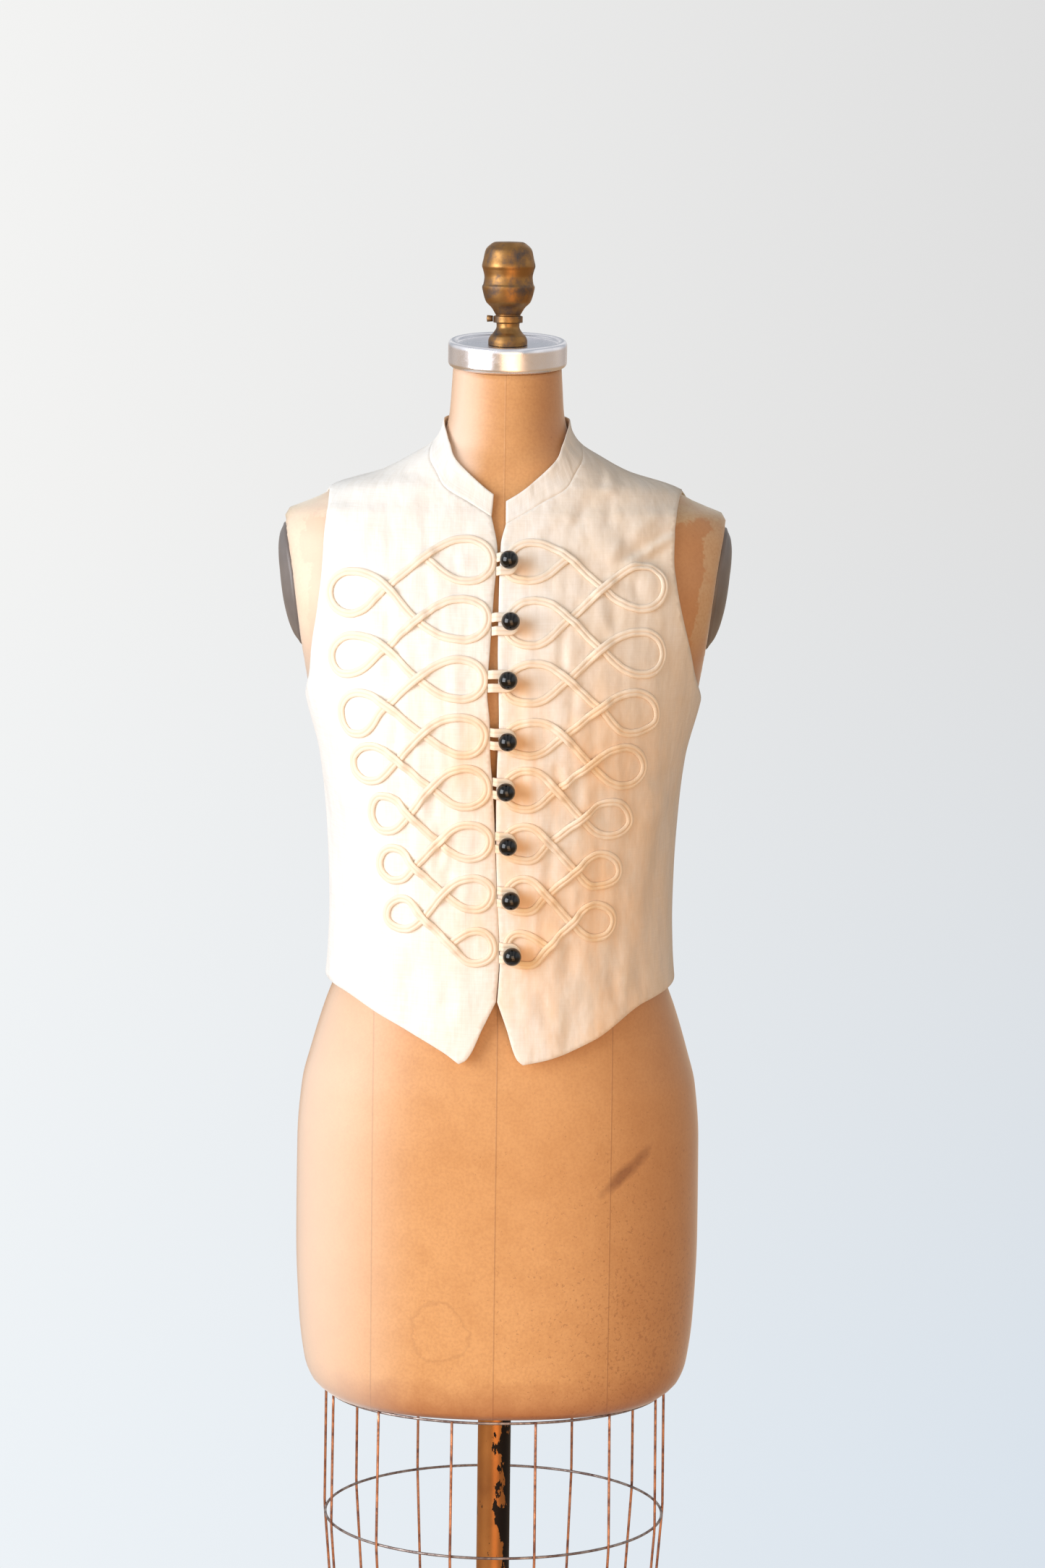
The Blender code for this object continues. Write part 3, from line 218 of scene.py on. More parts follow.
# Level sections of the form's body: height, half width, front, back, squareness
FORM_SECTIONS = (
    (BODY_BOTTOM, 0.1540, 0.1130, 0.1180, 2.20),
    (0.6270, 0.1655, 0.1145, 0.1240, 2.20),
    (0.6450, 0.1730, 0.1155, 0.1280, 2.20),
    (0.6900, 0.1785, 0.1160, 0.1330, 2.20),
    (0.7600, 0.1812, 0.1160, 0.1360, 2.20),
    (0.8500, 0.1806, 0.1160, 0.1320, 2.20),
    (0.9000, 0.1765, 0.1140, 0.1220, 2.20),
    (0.9300, 0.1690, 0.1110, 0.1120, 2.20),
    (0.9700, 0.1570, 0.1060, 0.0990, 2.20),
    (1.0100, 0.1420, 0.0990, 0.0890, 2.25),
    (1.0500, 0.1300, 0.0950, 0.0830, 2.25),
    (1.1000, 0.1340, 0.1000, 0.0860, 2.30),
    (1.1500, 0.1450, 0.1130, 0.0920, 2.40),
    (1.2000, 0.1550, 0.1270, 0.0990, 2.50),
    (1.2440, 0.1688, 0.1360, 0.1050, 2.50),
    (1.2800, 0.1775, 0.1308, 0.1078, 2.45),
    (1.3200, 0.1930, 0.1198, 0.1118, 2.35),
    (1.3600, 0.2050, 0.1040, 0.1120, 2.25),
    (1.3900, 0.2050, 0.0900, 0.1080, 2.20),
    (1.4124, 0.1930, 0.0790, 0.1000, 2.20),
    (1.4224, 0.1692, 0.0725, 0.0935, 2.20),
    (1.4344, 0.1455, 0.0665, 0.0865, 2.20),
    (1.4464, 0.1062, 0.0615, 0.0795, 2.15),
    (1.4594, 0.0812, 0.0585, 0.0735, 2.10),
    (1.4724, 0.0606, 0.0550, 0.0660, 2.00),
    (1.4861, 0.0535, 0.0532, 0.0602, 2.00),
    (1.5000, 0.0503, 0.0505, 0.0550, 2.00),
    (1.5260, 0.0485, 0.0490, 0.0510, 2.00),
    (1.5400, 0.0476, 0.0480, 0.0500, 2.00),
)

# Level sections of the vest's outer face: height, half width, front, back, squareness
VEST_SECTIONS = (
    (0.930, 0.1640, 0.1215, 0.1180, 2.20),
    (0.970, 0.1610, 0.1200, 0.1080, 2.20),
    (1.000, 0.1562, 0.1190, 0.1040, 2.25),
    (1.030, 0.1540, 0.1200, 0.1010, 2.25),
    (1.060, 0.1532, 0.1225, 0.0995, 2.30),
    (1.100, 0.1540, 0.1270, 0.0995, 2.35),
    (1.150, 0.1570, 0.1330, 0.1020, 2.40),
    (1.200, 0.1625, 0.1395, 0.1065, 2.50),
    (1.244, 0.1738, 0.1430, 0.1115, 2.50),
    (1.280, 0.1820, 0.1375, 0.1155, 2.45),
    (1.320, 0.1965, 0.1255, 0.1185, 2.35),
    (1.360, 0.2080, 0.1090, 0.1180, 2.25),
    (1.390, 0.2080, 0.0950, 0.1140, 2.20),
    (1.415, 0.1955, 0.0830, 0.1050, 2.20),
    (1.425, 0.1725, 0.0765, 0.0985, 2.20),
    (1.437, 0.1488, 0.0705, 0.0915, 2.20),
    (1.449, 0.1095, 0.0655, 0.0845, 2.15),
    (1.462, 0.0845, 0.0625, 0.0785, 2.10),
    (1.475, 0.0645, 0.0600, 0.0710, 2.00),
    (1.488, 0.0565, 0.0570, 0.0640, 2.00),
    (1.503, 0.0535, 0.0545, 0.0590, 2.00),
    (1.520, 0.0535, 0.0545, 0.0590, 2.00),
)
print(len(FORM_SECTIONS), "sections of the form and", len(VEST_SECTIONS), "of the vest")


# %% The trunk as a function of angle and height
def section(table, height):
    """Half width, front depth, back depth and squareness at a height."""
    rows = np.array(table)
    return [smooth(rows[:, 0], rows[:, k], height) for k in range(1, 5)]


def trunk(table, angle, height):
    """A point of the trunk: angle 0 is the front and a quarter turn is +X."""
    half, front, back, square = section(table, height)
    angle = np.asarray(angle, float)
    depth = np.where(np.cos(angle) >= 0, front, back)
    across = np.abs(np.sin(angle)) / half
    along = np.abs(np.cos(angle)) / depth
    reach = (across**square + along**square) ** (-1 / square)
    return np.stack([reach * np.sin(angle), -reach * np.cos(angle), height + 0 * reach], axis=-1)


def angle_at(table, x, height, behind=False):
    """The angle at which the trunk's level section passes a distance from the centre."""
    half, front, back, square = section(table, height)
    share = np.clip(np.abs(x) / half, 0, 1)
    depth = (back if behind else front) * (1 - share**square) ** (1 / square)
    angle = np.arctan2(np.abs(x), depth)
    return pi - angle if behind else angle


# The distance up the vest is measured along one line, at this angle round from the front
RUN_LINE = radians(62)
VEST_HEIGHTS = np.linspace(VEST_SECTIONS[0][0], VEST_SECTIONS[-1][0], 600)
VEST_RUN = run_of(trunk(VEST_SECTIONS, RUN_LINE, VEST_HEIGHTS))


def to_run(height):
    """The distance run up the vest at a height."""
    return np.interp(height, VEST_HEIGHTS, VEST_RUN)


def to_height(run):
    """The height at a distance run up the vest."""
    return np.interp(run, VEST_RUN, VEST_HEIGHTS)


print(f"the vest's sections run {VEST_RUN[-1]:.3f} m along the body")

# %% [markdown]
# ## The cloth's flat pattern
# A tailor cuts cloth flat, and so does this lesson. Each panel is an outline of (across, run)
# pairs: across is the distance round the vest from its centre line, run the distance up it. The
# outline is filled with a lattice of points, which Delaunay's rule joins into even triangles, and
# each point is then put on the trunk. A plain grid between four edges would fold over itself at
# the underarm, where the armhole cuts deep into the panel. The flat place stays as the piece's
# own UV map, in metres, so that the weave runs straight with the cut.

# %% Outlines of the panels
# Front edges of each front at the centre, from the neck down: x, height
CENTRE_EDGE = {
    "right": (
        (0.0011, 1.4091), (-0.0030, 1.3917), (-0.0040, 1.3500), (-0.0042, 1.3050),
        (-0.0030, 1.2682), (-0.0024, 1.2400), (-0.0036, 1.2059), (-0.0040, 1.1700),
        (-0.0036, 1.1300), (-0.0022, 1.0900), (0.0000, 1.0500), (0.0006, 1.0300),
        (-0.0012, 0.9956), (0.0066, 0.9739), (0.0166, 0.9450), (0.0216, 0.9405),
    ),
    "left": (
        (-0.0126, 1.4091), (-0.0066, 1.3857), (-0.0092, 1.3500), (-0.0118, 1.3050),
        (-0.0136, 1.2700), (-0.0112, 1.2450), (-0.0103, 1.2152), (-0.0078, 1.1850),
        (-0.0056, 1.1450), (-0.0036, 1.0965), (-0.0014, 1.0600), (-0.0008, 1.0300),
        (-0.0031, 0.9956), (-0.0140, 0.9730), (-0.0285, 0.9440), (-0.0346, 0.9405),
    ),
}

# Hems from the point to the side seam: distance from the centre, height
HEM = {
    "right": ((0.0216, 0.9405), (0.0429, 0.9446), (0.0826, 0.9600), (0.1277, 0.9890), (0.1562, 1.0010)),
    "left": ((0.0346, 0.9405), (0.0480, 0.9500), (0.1018, 0.9775), (0.1380, 0.9945), (0.1562, 1.0010)),
}

# Armholes from the underarm up to the shoulder's end: height, distance from the centre
ARMHOLE = {
    "right": (
        (1.2400, 0.1728), (1.2713, 0.1692), (1.3016, 0.1622), (1.3383, 0.1531),
        (1.3583, 0.1492), (1.3763, 0.1472), (1.3941, 0.1472), (1.4178, 0.1490), (1.4320, 0.1530),
    ),
    "left": (
        (1.2400, 0.1728), (1.2713, 0.1704), (1.3016, 0.1670), (1.3332, 0.1622),
        (1.3583, 0.1592), (1.3763, 0.1580), (1.3999, 0.1568), (1.4178, 0.1550), (1.4320, 0.1545),
    ),
    "back": (
        (1.2400, 0.1728), (1.2713, 0.1696), (1.3016, 0.1620), (1.3383, 0.1540),
        (1.3583, 0.1510), (1.3763, 0.1500), (1.3941, 0.1500), (1.4178, 0.1510), (1.4320, 0.1535),
    ),
}
SHOULDER_TIP = 1.4345
CLOTH = 1.4 * MM
SEAM_GAP = 0.3 * MM

# Neck seam and collar's top edge by angle from the centre front: angle, seam height, top height
COLLAR = (
    (0, 1.4091, 1.4275),
    (11, 1.4180, 1.4358),
    (24, 1.4280, 1.4478),
    (37, 1.4377, 1.4605),
    (52, 1.4560, 1.4752),
    (68, 1.4680, 1.4858),
    (90, 1.4755, 1.4940),
    (130, 1.4800, 1.4960),
    (180, 1.4810, 1.4965),
)
drop = CENTRE_EDGE["right"][0][1] - HEM["right"][0][1]
print(f"centre front from neck to point: {drop:.3f} m")

# %% Between angles and distances round the vest
def ring_lengths(height, behind):
    """Distance run round the vest from its centre line to 49 even angles, one row for each height."""
    angle = np.linspace(0, pi / 2, 49)[None] + 0 * height[:, None]
    ring = trunk(VEST_SECTIONS, pi - angle if behind else angle, height[:, None] + 0 * angle)
    steps = np.linalg.norm(np.diff(ring, axis=1), axis=2)
    return np.concatenate([0 * height[:, None], np.cumsum(steps, axis=1)], axis=1)


def to_across(angle, height, behind=False):
    """Distance round the vest from the centre line at rows of angles and heights."""
    angle, height = np.broadcast_arrays(np.asarray(angle, float), np.asarray(height, float))
    lengths = ring_lengths(height, behind)
    place = np.clip(np.abs(angle) / (pi / 2) * 48, 0, 47.999)
    low = place.astype(int)
    row = np.arange(len(lengths))
    share = place - low
    return np.sign(angle) * (lengths[row, low] * (1 - share) + lengths[row, low + 1] * share)


def to_angles(flat, behind=False):
    """(across, run) pairs turned to (angle, run) pairs."""
    lengths = ring_lengths(to_height(flat[:, 1]), behind)
    across = np.minimum(np.abs(flat[:, 0]), lengths[:, -1] - 1e-9)
    row = np.arange(len(lengths))
    low = np.clip((lengths <= across[:, None]).sum(axis=1) - 1, 0, 47)
    share = (across - lengths[row, low]) / (lengths[row, low + 1] - lengths[row, low])
    return np.stack([np.sign(flat[:, 0]) * (low + share) / 48 * pi / 2, flat[:, 1]], axis=-1)


def outline(x, height, behind=False, sides=()):
    """(across, run) pairs of points given as seen from the front; sides lie on the side seam."""
    x, height = np.asarray(x, float), np.asarray(height, float)
    angle = angle_at(VEST_SECTIONS, x, height) * np.where(x < 0, -1, 1)
    angle[list(sides)] = pi / 2
    return np.stack([to_across(angle, height, behind), to_run(height)], axis=-1)


waist = to_across(pi / 2, np.array([1.05]))[0] + to_across(pi / 2, np.array([1.05]), True)[0]
print(f"waist: {2 * waist:.3f} m round")

# %% [markdown]
# ## Folds and creases
# The vest hangs in a few large soft folds. Over them lie small creases: drag lines from the
# armhole, and upright puckers between the rows of braid, where the braid's stitches took in a
# little of the linen. Each is a soft ridge or trough along a short line, and its height falls
# off as a bell curve. Fine ripples from a few uneven waves fill the braided area.

# %% Folds, creases and ripples
# Largest folds by panel, in metres: x and height of each end, rise, half width.
# A trough's rise is negative, and x is mirrored on the left front.
FOLDS = {
    "front_right": (
        (0.146, 1.372, 0.100, 1.392, -0.0022, 0.011),
        (0.147, 1.352, 0.078, 1.398, 0.0026, 0.012),
        (0.090, 1.430, 0.030, 1.396, -0.0018, 0.014),
        (0.158, 1.190, 0.128, 1.060, -0.0026, 0.013),
        (0.134, 1.225, 0.118, 1.040, 0.0024, 0.012),
        (0.070, 1.000, 0.062, 0.950, -0.0024, 0.013),
    ),
    "front_left": (
        (0.150, 1.395, 0.100, 1.400, 0.0020, 0.013),
        (0.156, 1.180, 0.130, 1.040, -0.0024, 0.013),
        (0.134, 1.215, 0.120, 1.050, 0.0022, 0.012),
        (0.075, 1.030, 0.080, 0.965, -0.0022, 0.013),
    ),
    "back": (
        (0.020, 1.200, 0.030, 1.020, 0.0030, 0.016),
        (-0.055, 1.230, -0.070, 1.030, -0.0026, 0.017),
        (0.100, 1.240, 0.090, 1.060, -0.0024, 0.016),
        (-0.125, 1.340, -0.060, 1.250, 0.0022, 0.015),
    ),
}

# Small creases in the same way, but in millimetres
CREASES = {
    "front_right": (
        (149, 1407, 96, 1377, -1.3, 4.0),
        (147, 1401, 101, 1374, 1.1, 4.0),
        (145, 1391, 116, 1375, -0.9, 3.5),
        (136, 1420, 109, 1398, 0.8, 6.0),
        (80, 1463, 84, 1439, -1.1, 4.5),
        (89, 1453, 92, 1433, 0.7, 5.0),
        (92, 1435, 89, 1407, -1.0, 5.0),
        (59, 1440, 56, 1410, 0.7, 6.0),
        (68, 1432, 64, 1407, -0.7, 5.0),
        (45, 1429, 28, 1407, -0.6, 5.0),
        (28, 1413, 17, 1400, -1.0, 3.5),
        (101, 1398, 86, 1377, 0.6, 5.0),
        (112, 1365, 116, 1345, -0.9, 4.0),
        (92, 1356, 95, 1324, -0.9, 4.5),
        (83, 1353, 86, 1317, 0.7, 5.0),
        (67, 1347, 57, 1329, -0.7, 4.5),
        (42, 1353, 41, 1333, 0.5, 5.0),
        (50, 1320, 50, 1287, -1.0, 4.0),
        (58, 1311, 57, 1287, 0.7, 4.5),
        (69, 1290, 65, 1269, -0.6, 4.5),
        (61, 1276, 60, 1256, -0.9, 4.0),
        (81, 1329, 91, 1305, -0.6, 4.5),
        (28, 1287, 32, 1269, 0.4, 5.0),
        (47, 1208, 49, 1188, -0.9, 4.0),
        (54, 1206, 56, 1184, 0.7, 4.5),
        (67, 1198, 66, 1174, -0.8, 4.0),
        (73, 1190, 75, 1164, 0.8, 4.5),
        (84, 1173, 89, 1156, -0.7, 4.0),
        (45, 1155, 42, 1103, -0.8, 4.5),
        (52, 1129, 56, 1099, 0.7, 4.5),
        (62, 1099, 65, 1083, 0.6, 4.0),
        (61, 1050, 62, 1018, -0.9, 4.5),
        (50, 1054, 47, 1012, 0.6, 6.0),
        (72, 1047, 79, 1011, 0.6, 6.0),
        (99, 1022, 102, 990, -1.0, 5.0),
        (113, 1046, 111, 1002, 0.8, 6.0),
        (123, 1025, 126, 996, -0.8, 5.0),
        (36, 1006, 45, 967, -0.9, 6.0),
        (126, 1186, 158, 1196, -1.2, 8.0),
        (113, 1145, 148, 1169, 1.0, 9.0),
        (19, 1012, 26, 974, 0.5, 7.0),
    ),
    "front_left": (
        (98, 1335, 98, 1311, -0.9, 4.5),
        (91, 1338, 89, 1308, 0.7, 5.0),
        (65, 1368, 66, 1345, -0.8, 4.5),
        (57, 1369, 55, 1345, 0.6, 5.0),
        (44, 1386, 42, 1365, -0.5, 4.5),
        (36, 1385, 37, 1367, 0.5, 4.5),
        (95, 1302, 96, 1281, -0.8, 4.5),
        (106, 1353, 108, 1332, -0.4, 5.0),
        (63, 1312, 69, 1297, 0.5, 5.0),
        (84, 1303, 78, 1285, 0.5, 5.0),
        (91, 1241, 93, 1218, -0.8, 4.5),
        (84, 1232, 83, 1213, 0.5, 4.5),
        (61, 1182, 59, 1154, -1.0, 4.0),
        (67, 1185, 68, 1159, 0.7, 4.5),
        (53, 1153, 54, 1113, -1.0, 4.0),
        (47, 1147, 48, 1115, 0.7, 4.5),
        (80, 1151, 78, 1129, -0.7, 4.5),
        (86, 1190, 89, 1170, -0.6, 4.5),
        (74, 1142, 71, 1116, 0.5, 4.5),
        (45, 1115, 46, 1095, -0.8, 4.0),
        (60, 1101, 61, 1081, -0.6, 4.5),
        (33, 1144, 29, 1128, 0.4, 4.5),
        (65, 1461, 68, 1405, -0.6, 7.0),
        (100, 1422, 104, 1398, -0.5, 7.0),
        (81, 1434, 83, 1402, 0.5, 8.0),
        (134, 1409, 130, 1379, 0.4, 9.0),
        (76, 1038, 80, 1005, -0.7, 7.0),
        (89, 1047, 95, 1007, 0.5, 8.0),
        (44, 1017, 46, 988, -0.7, 6.0),
        (30, 1005, 37, 967, 0.5, 7.0),
        (137, 1210, 144, 1175, -1.2, 7.0),
        (148, 1194, 131, 1158, 0.8, 9.0),
        (68, 1261, 63, 1245, -0.5, 5.0),
    ),
}

# Ripples of the braided area: wave length, height in millimetres, drift, starting turn
RIPPLES = (
    (8.5, 0.10, 37.0, 5.2),
    (11.0, 0.16, 31.0, 0.4),
    (15.5, 0.26, 23.0, 2.1),
    (22.0, 0.34, 17.0, 4.4),
    (36.0, 0.40, 9.0, 1.3),
)
# The rippled area of a front: its middle, half its height, its half width at the hem and what that
# gains with height. On the back: the middle's height, half width and half height.
RIPPLED_MIDDLE, RIPPLED_TALL = (0.070, 1.205), 0.20
RIPPLED_HEM, RIPPLED_WIDE, RIPPLED_GAIN = 1.03, 0.050, 0.14
BACK_RIPPLED, BACK_WIDE, BACK_TALL = 1.10, 0.13, 0.12

# The creases' rises are multiplied by this
CREASE_DEPTH = 1.7


def ridge(points, start, end, rise, width):
    """Rise times a bell curve of the distance from a line, dying away at the line's two ends."""
    line = end - start
    share = np.clip((points - start) @ line / (line @ line), 0, 1)
    away = np.linalg.norm(points - start - share[..., None] * line, axis=-1)
    ends = np.clip(1.15 - np.abs(2 * share - 1) ** 3, 0, 1)
    return rise * ends * np.exp(-((away / width) ** 2))


def raised_by(panel, points):
    """How far a panel's folds, creases and ripples raise its points."""
    seen = points[..., [0, 2]]
    turn = -1 if panel == "front_left" else 1
    total = np.zeros(seen.shape[:-1])
    for x0, z0, x1, z1, rise, width in FOLDS.get(panel, ()):
        total += ridge(seen, np.array([x0 * turn, z0]), np.array([x1 * turn, z1]), rise, width)
    for x0, z0, x1, z1, rise, width in CREASES.get(panel, ()):
        start, end = np.array([x0 * turn, z0]) * MM, np.array([x1 * turn, z1]) * MM
        total += ridge(seen, start, end, CREASE_DEPTH * rise * MM, width * MM)
    x, z = seen[..., 0], seen[..., 1]
    if panel == "back":
        inside = 0.5 * np.exp(-np.abs(x / BACK_WIDE) ** 4)
        inside = inside * np.exp(-np.abs((z - BACK_RIPPLED) / BACK_TALL) ** 4)
    else:
        reach = RIPPLED_WIDE + RIPPLED_GAIN * (z - RIPPLED_HEM)
        inside = np.exp(-np.abs((x - RIPPLED_MIDDLE[0] * turn) / reach) ** 4)
        inside = inside * np.exp(-np.abs((z - RIPPLED_MIDDLE[1]) / RIPPLED_TALL) ** 6)
    for length, high, drift, turned in RIPPLES:
        wave = np.sin(2 * pi * x / (length * MM) + 1.6 * np.sin(drift * z + turned) + 3 * turned * turn)
        total += inside * high * MM * wave * (0.6 + 0.4 * np.sin(1.7 * drift * z + 2 * turned))
    return total


def cloth_points(panel, grid, fade=1.0):
    """Outer points and outward directions of a panel at (angle, run) pairs: the trunk plus its folds."""
    angle, run = grid[..., 0], grid[..., 1]
    height, above, below = to_height(run), to_height(run + MM), to_height(run - MM)
    here = trunk(VEST_SECTIONS, angle, height)
    across = trunk(VEST_SECTIONS, angle + 0.002, height) - trunk(VEST_SECTIONS, angle - 0.002, height)
    upward = trunk(VEST_SECTIONS, angle, above) - trunk(VEST_SECTIONS, angle, below)
    out = np.cross(across, upward)
    out /= np.linalg.norm(out, axis=-1)[..., None]
    return here + out * (fade * raised_by(panel, here))[..., None], out


def front_face(panel, x, height):
    """Outer points and outward directions of a front at places seen from the front."""
    angle = angle_at(VEST_SECTIONS, x, height) * np.where(x < 0, -1, 1)
    return cloth_points(panel, np.stack([angle, to_run(height)], axis=-1))


for title, table in (("folds", FOLDS), ("creases", CREASES)):
    print(title, {panel: len(rows) for panel, rows in table.items()})

# %% [markdown]
# ## Cutting and hanging the panels
# The wall of cloth is made from the outer face: the inner face is set back by the thickness, and
# a middle row of points, pushed out a little past the edge, rounds the turned edge as a pressed
# hem is round. Two triangles of the lattice share each inner edge, so an edge that is used only
# once is on the outline, which is how the rim finds its place.

# %% Fill an outline and give cloth its thickness
CLOTH_SPACING = 3.3 * MM
EDGE_STEP = 3.0 * MM
ROUNDING = 0.45 * MM
# The lattice keeps this share of its spacing from the edge, and folds die away over this distance
CLEAR_SHARE = 0.55
FOLD_FADE = 0.03


def fill(edge, spacing):
    """A triangle lattice of points inside a closed outline, joined with it by Delaunay's rule."""
    low, high = edge.min(axis=0), edge.max(axis=0)
    row_step = spacing * sin(pi / 3)
    j, i = np.mgrid[0 : int((high[1] - low[1]) / row_step) + 1, 0 : int((high[0] - low[0]) / spacing) + 2]
    lattice = low + np.stack([(i - 0.5 * (j % 2)) * spacing, (j + 0.5) * row_step], axis=-1).reshape(-1, 2)
    after = np.roll(edge, -1, axis=0)
    span = after - edge
    slope = span[:, 0] / np.where(span[:, 1] == 0, 1, span[:, 1])
    inside = []
    for part in np.array_split(lattice, 24):
        from_edge = part[:, None] - edge
        share = np.clip((from_edge * span).sum(axis=2) / (span**2).sum(axis=1), 0, 1)
        away = np.linalg.norm(from_edge - span * share[..., None], axis=2).min(axis=1)
        above = (edge[:, 1] > part[:, 1:]) != (after[:, 1] > part[:, 1:])
        crossing = edge[:, 0] + from_edge[..., 1] * slope
        odd = (above & (crossing > part[:, :1])).sum(axis=1) % 2 == 1
        inside.append(part[odd & (away > CLEAR_SHARE * spacing)])
    points = [Vector(p) for p in np.concatenate([edge, *inside])]
    loop = [(k, (k + 1) % len(edge)) for k in range(len(edge))]
    found = delaunay_2d_cdt(points, loop, [], 1, 1e-7)
    return np.array([tuple(p) for p in found[0]]), np.array([tuple(f) for f in found[2]])


def wall(name, outer, out, faces, flat, finish):
    """Cloth of one thickness: outer face, inner face set back along the outward directions, round rim."""
    size = len(outer)
    inner = outer - out * CLOTH
    ends = np.concatenate([faces[:, [k, (k + 1) % faces.shape[1]]] for k in range(faces.shape[1])])
    key, back_key = ends[:, 0] * size + ends[:, 1], ends[:, 1] * size + ends[:, 0]
    rim = ends[~np.isin(key, back_key)]
    direction = np.zeros_like(outer)
    edge_line = outer[rim[:, 1]] - outer[rim[:, 0]]
    np.add.at(direction, rim[:, 0], np.cross(edge_line, out[rim[:, 0]]))
    np.add.at(direction, rim[:, 1], np.cross(edge_line, out[rim[:, 1]]))
    length = np.linalg.norm(direction, axis=1)[:, None]
    middle = outer - out * CLOTH / 2 + direction / np.where(length > 0, length, 1) * ROUNDING
    used = np.unique(rim)
    number = np.zeros(size, int)
    number[used] = 2 * size + np.arange(len(used))
    a, b = rim.T
    near = np.stack([b, a, number[a], number[b]], 1)
    far = np.stack([number[b], number[a], a + size, b + size], 1)
    every = faces.tolist() + (faces[:, ::-1] + size).tolist() + near.tolist() + far.tolist()
    points = np.concatenate([outer, inner, middle[used]])
    return piece(name, points, every, np.concatenate([flat, flat, flat[used]]), finish)


def cut(name, panel, edge, held, turn, finish, behind=False, spacing=CLOTH_SPACING):
    """A panel from its outline; its folds die away towards the seams that hold it. Also its flat size."""
    flat, faces = fill(edge, spacing)
    away = np.full(len(flat), 1.0)
    for part in np.array_split(held, 12):
        away = np.minimum(away, np.linalg.norm(flat[:, None] - part[None], axis=-1).min(axis=1))
    fade = np.clip(away / FOLD_FADE, 0, 1) ** 2
    grid = to_angles(flat, behind)
    margin = SEAM_GAP / 2 / section(VEST_SECTIONS, to_height(grid[:, 1]))[0]
    grid[:, 0] = np.clip(grid[:, 0], margin - pi / 2, pi / 2 - margin)
    grid[:, 0] = pi - grid[:, 0] if behind else grid[:, 0] * turn
    outer, out = cloth_points(panel, grid, fade)
    facing = np.cross(outer[faces[:, 1]] - outer[faces[:, 0]], outer[faces[:, 2]] - outer[faces[:, 0]])
    if (facing * out[faces[:, 0]]).sum() < 0:
        faces = faces[:, ::-1]
    made = wall(name, outer, out, faces, flat * (turn, 1), finish)
    x, y = edge[:, 0], edge[:, 1]
    area = abs((x * np.roll(y, -1) - y * np.roll(x, -1)).sum()) / 2
    size = (float(np.ptp(x)), float(np.ptp(y)))
    print(f"{name}: cut {size[0]:.3f} x {size[1]:.3f} m, {area:.4f} square metres")
    return made, size, float(area)


# %% The panels' edges
SIDE_POINTS = 84
SHOULDER_POINTS = 36


def side_edge(hole, hem_height, behind=False):
    """The side seam from the hem, and the armhole from the underarm to the shoulder's end."""
    points = np.array(list(hole) + [(SHOULDER_TIP, 1.0)])
    arm = respaced(outline(points[:, 1], points[:, 0], behind, (0, -1)), EDGE_STEP)
    heights = np.linspace(hem_height, hole[0][0], SIDE_POINTS)
    return outline(np.ones(SIDE_POINTS), heights, behind, range(SIDE_POINTS)), arm


def neck_edge(first_angle, columns, behind=False):
    """Points just under the collar from an angle near the centre line to the shoulder seam."""
    table = np.array(COLLAR)
    spread = np.linspace(first_angle, pi / 2, columns + 1)
    seen = pi - spread if behind else spread
    height = smooth(np.radians(table[:, 0]), table[:, 1], np.abs(seen))
    height = to_height(to_run(height) - SEAM_GAP / 2)
    return np.stack([to_across(spread, height, behind), to_run(height)], axis=-1)


def shoulder_edge(start_run, behind=False):
    """Points along the shoulder seam from the neck to the shoulder's end."""
    run = np.linspace(start_run, to_run(SHOULDER_TIP), SHOULDER_POINTS)
    return outline(np.ones(SHOULDER_POINTS), to_height(run), behind, range(SHOULDER_POINTS))


def front_outline(side):
    """One front: hem, side, armhole, shoulder, neck and centre edge; then the seams that hold it."""
    turn = 1 if side == "right" else -1
    edge = np.array(CENTRE_EDGE[side]) * (turn, 1)
    centre = outline(edge[:, 0], edge[:, 1])
    hem = np.array(HEM[side])
    bottom = respaced(outline(hem[:, 0], hem[:, 1], False, (-1,)), EDGE_STEP)
    seam, arm = side_edge(ARMHOLE[side], hem[-1, 1])
    neck = neck_edge(angle_at(VEST_SECTIONS, *edge[0]) * np.sign(edge[0, 0]), 40)
    shoulder = shoulder_edge(neck[-1, 1])
    centre[0] = neck[0]
    split = len(edge) - 4
    upper, lower = respaced(centre[: split + 1], EDGE_STEP), respaced(centre[split:], EDGE_STEP)
    whole = [bottom[:-1], seam[:-1], arm[:-1], shoulder[:0:-1], neck[:0:-1], upper[:-1], lower[:-1]]
    return np.concatenate(whole), np.concatenate([seam, shoulder, neck])


def back_outline():
    """The back: hem, two side seams with armholes, neck between two shoulder seams."""
    seam, arm = side_edge(ARMHOLE["back"], HEM["right"][-1][1], True)
    bottom = respaced(np.array([seam[0] * (-1, 1), seam[0]]), EDGE_STEP)
    neck = neck_edge(0.0, 26, True)
    shoulder = shoulder_edge(neck[-1, 1], True)
    half_edge = np.concatenate([seam[:-1], arm[:-1], shoulder[:0:-1], neck[::-1]])
    held = np.concatenate([seam, shoulder, neck])
    whole = np.concatenate([bottom[:-1], half_edge, (half_edge * (-1, 1))[-2:0:-1]])
    return whole, np.concatenate([held, held * (-1, 1)])


# %% [markdown]
# ## Bleached linen
# Linen is woven flax in a plain weave, about eighteen threads to the centimetre. Its threads are
# uneven, with thick places called slubs, and that makes long faint lines both ways. It is matt,
# with a soft bloom at grazing angles. The threads are drawn at a real 0.55 mm, and the slubs as
# long as 25 mm so that they still show from four metres.

# %% Linen
THREAD = 0.55 * MM
SLUB_LENGTH = 25 * MM


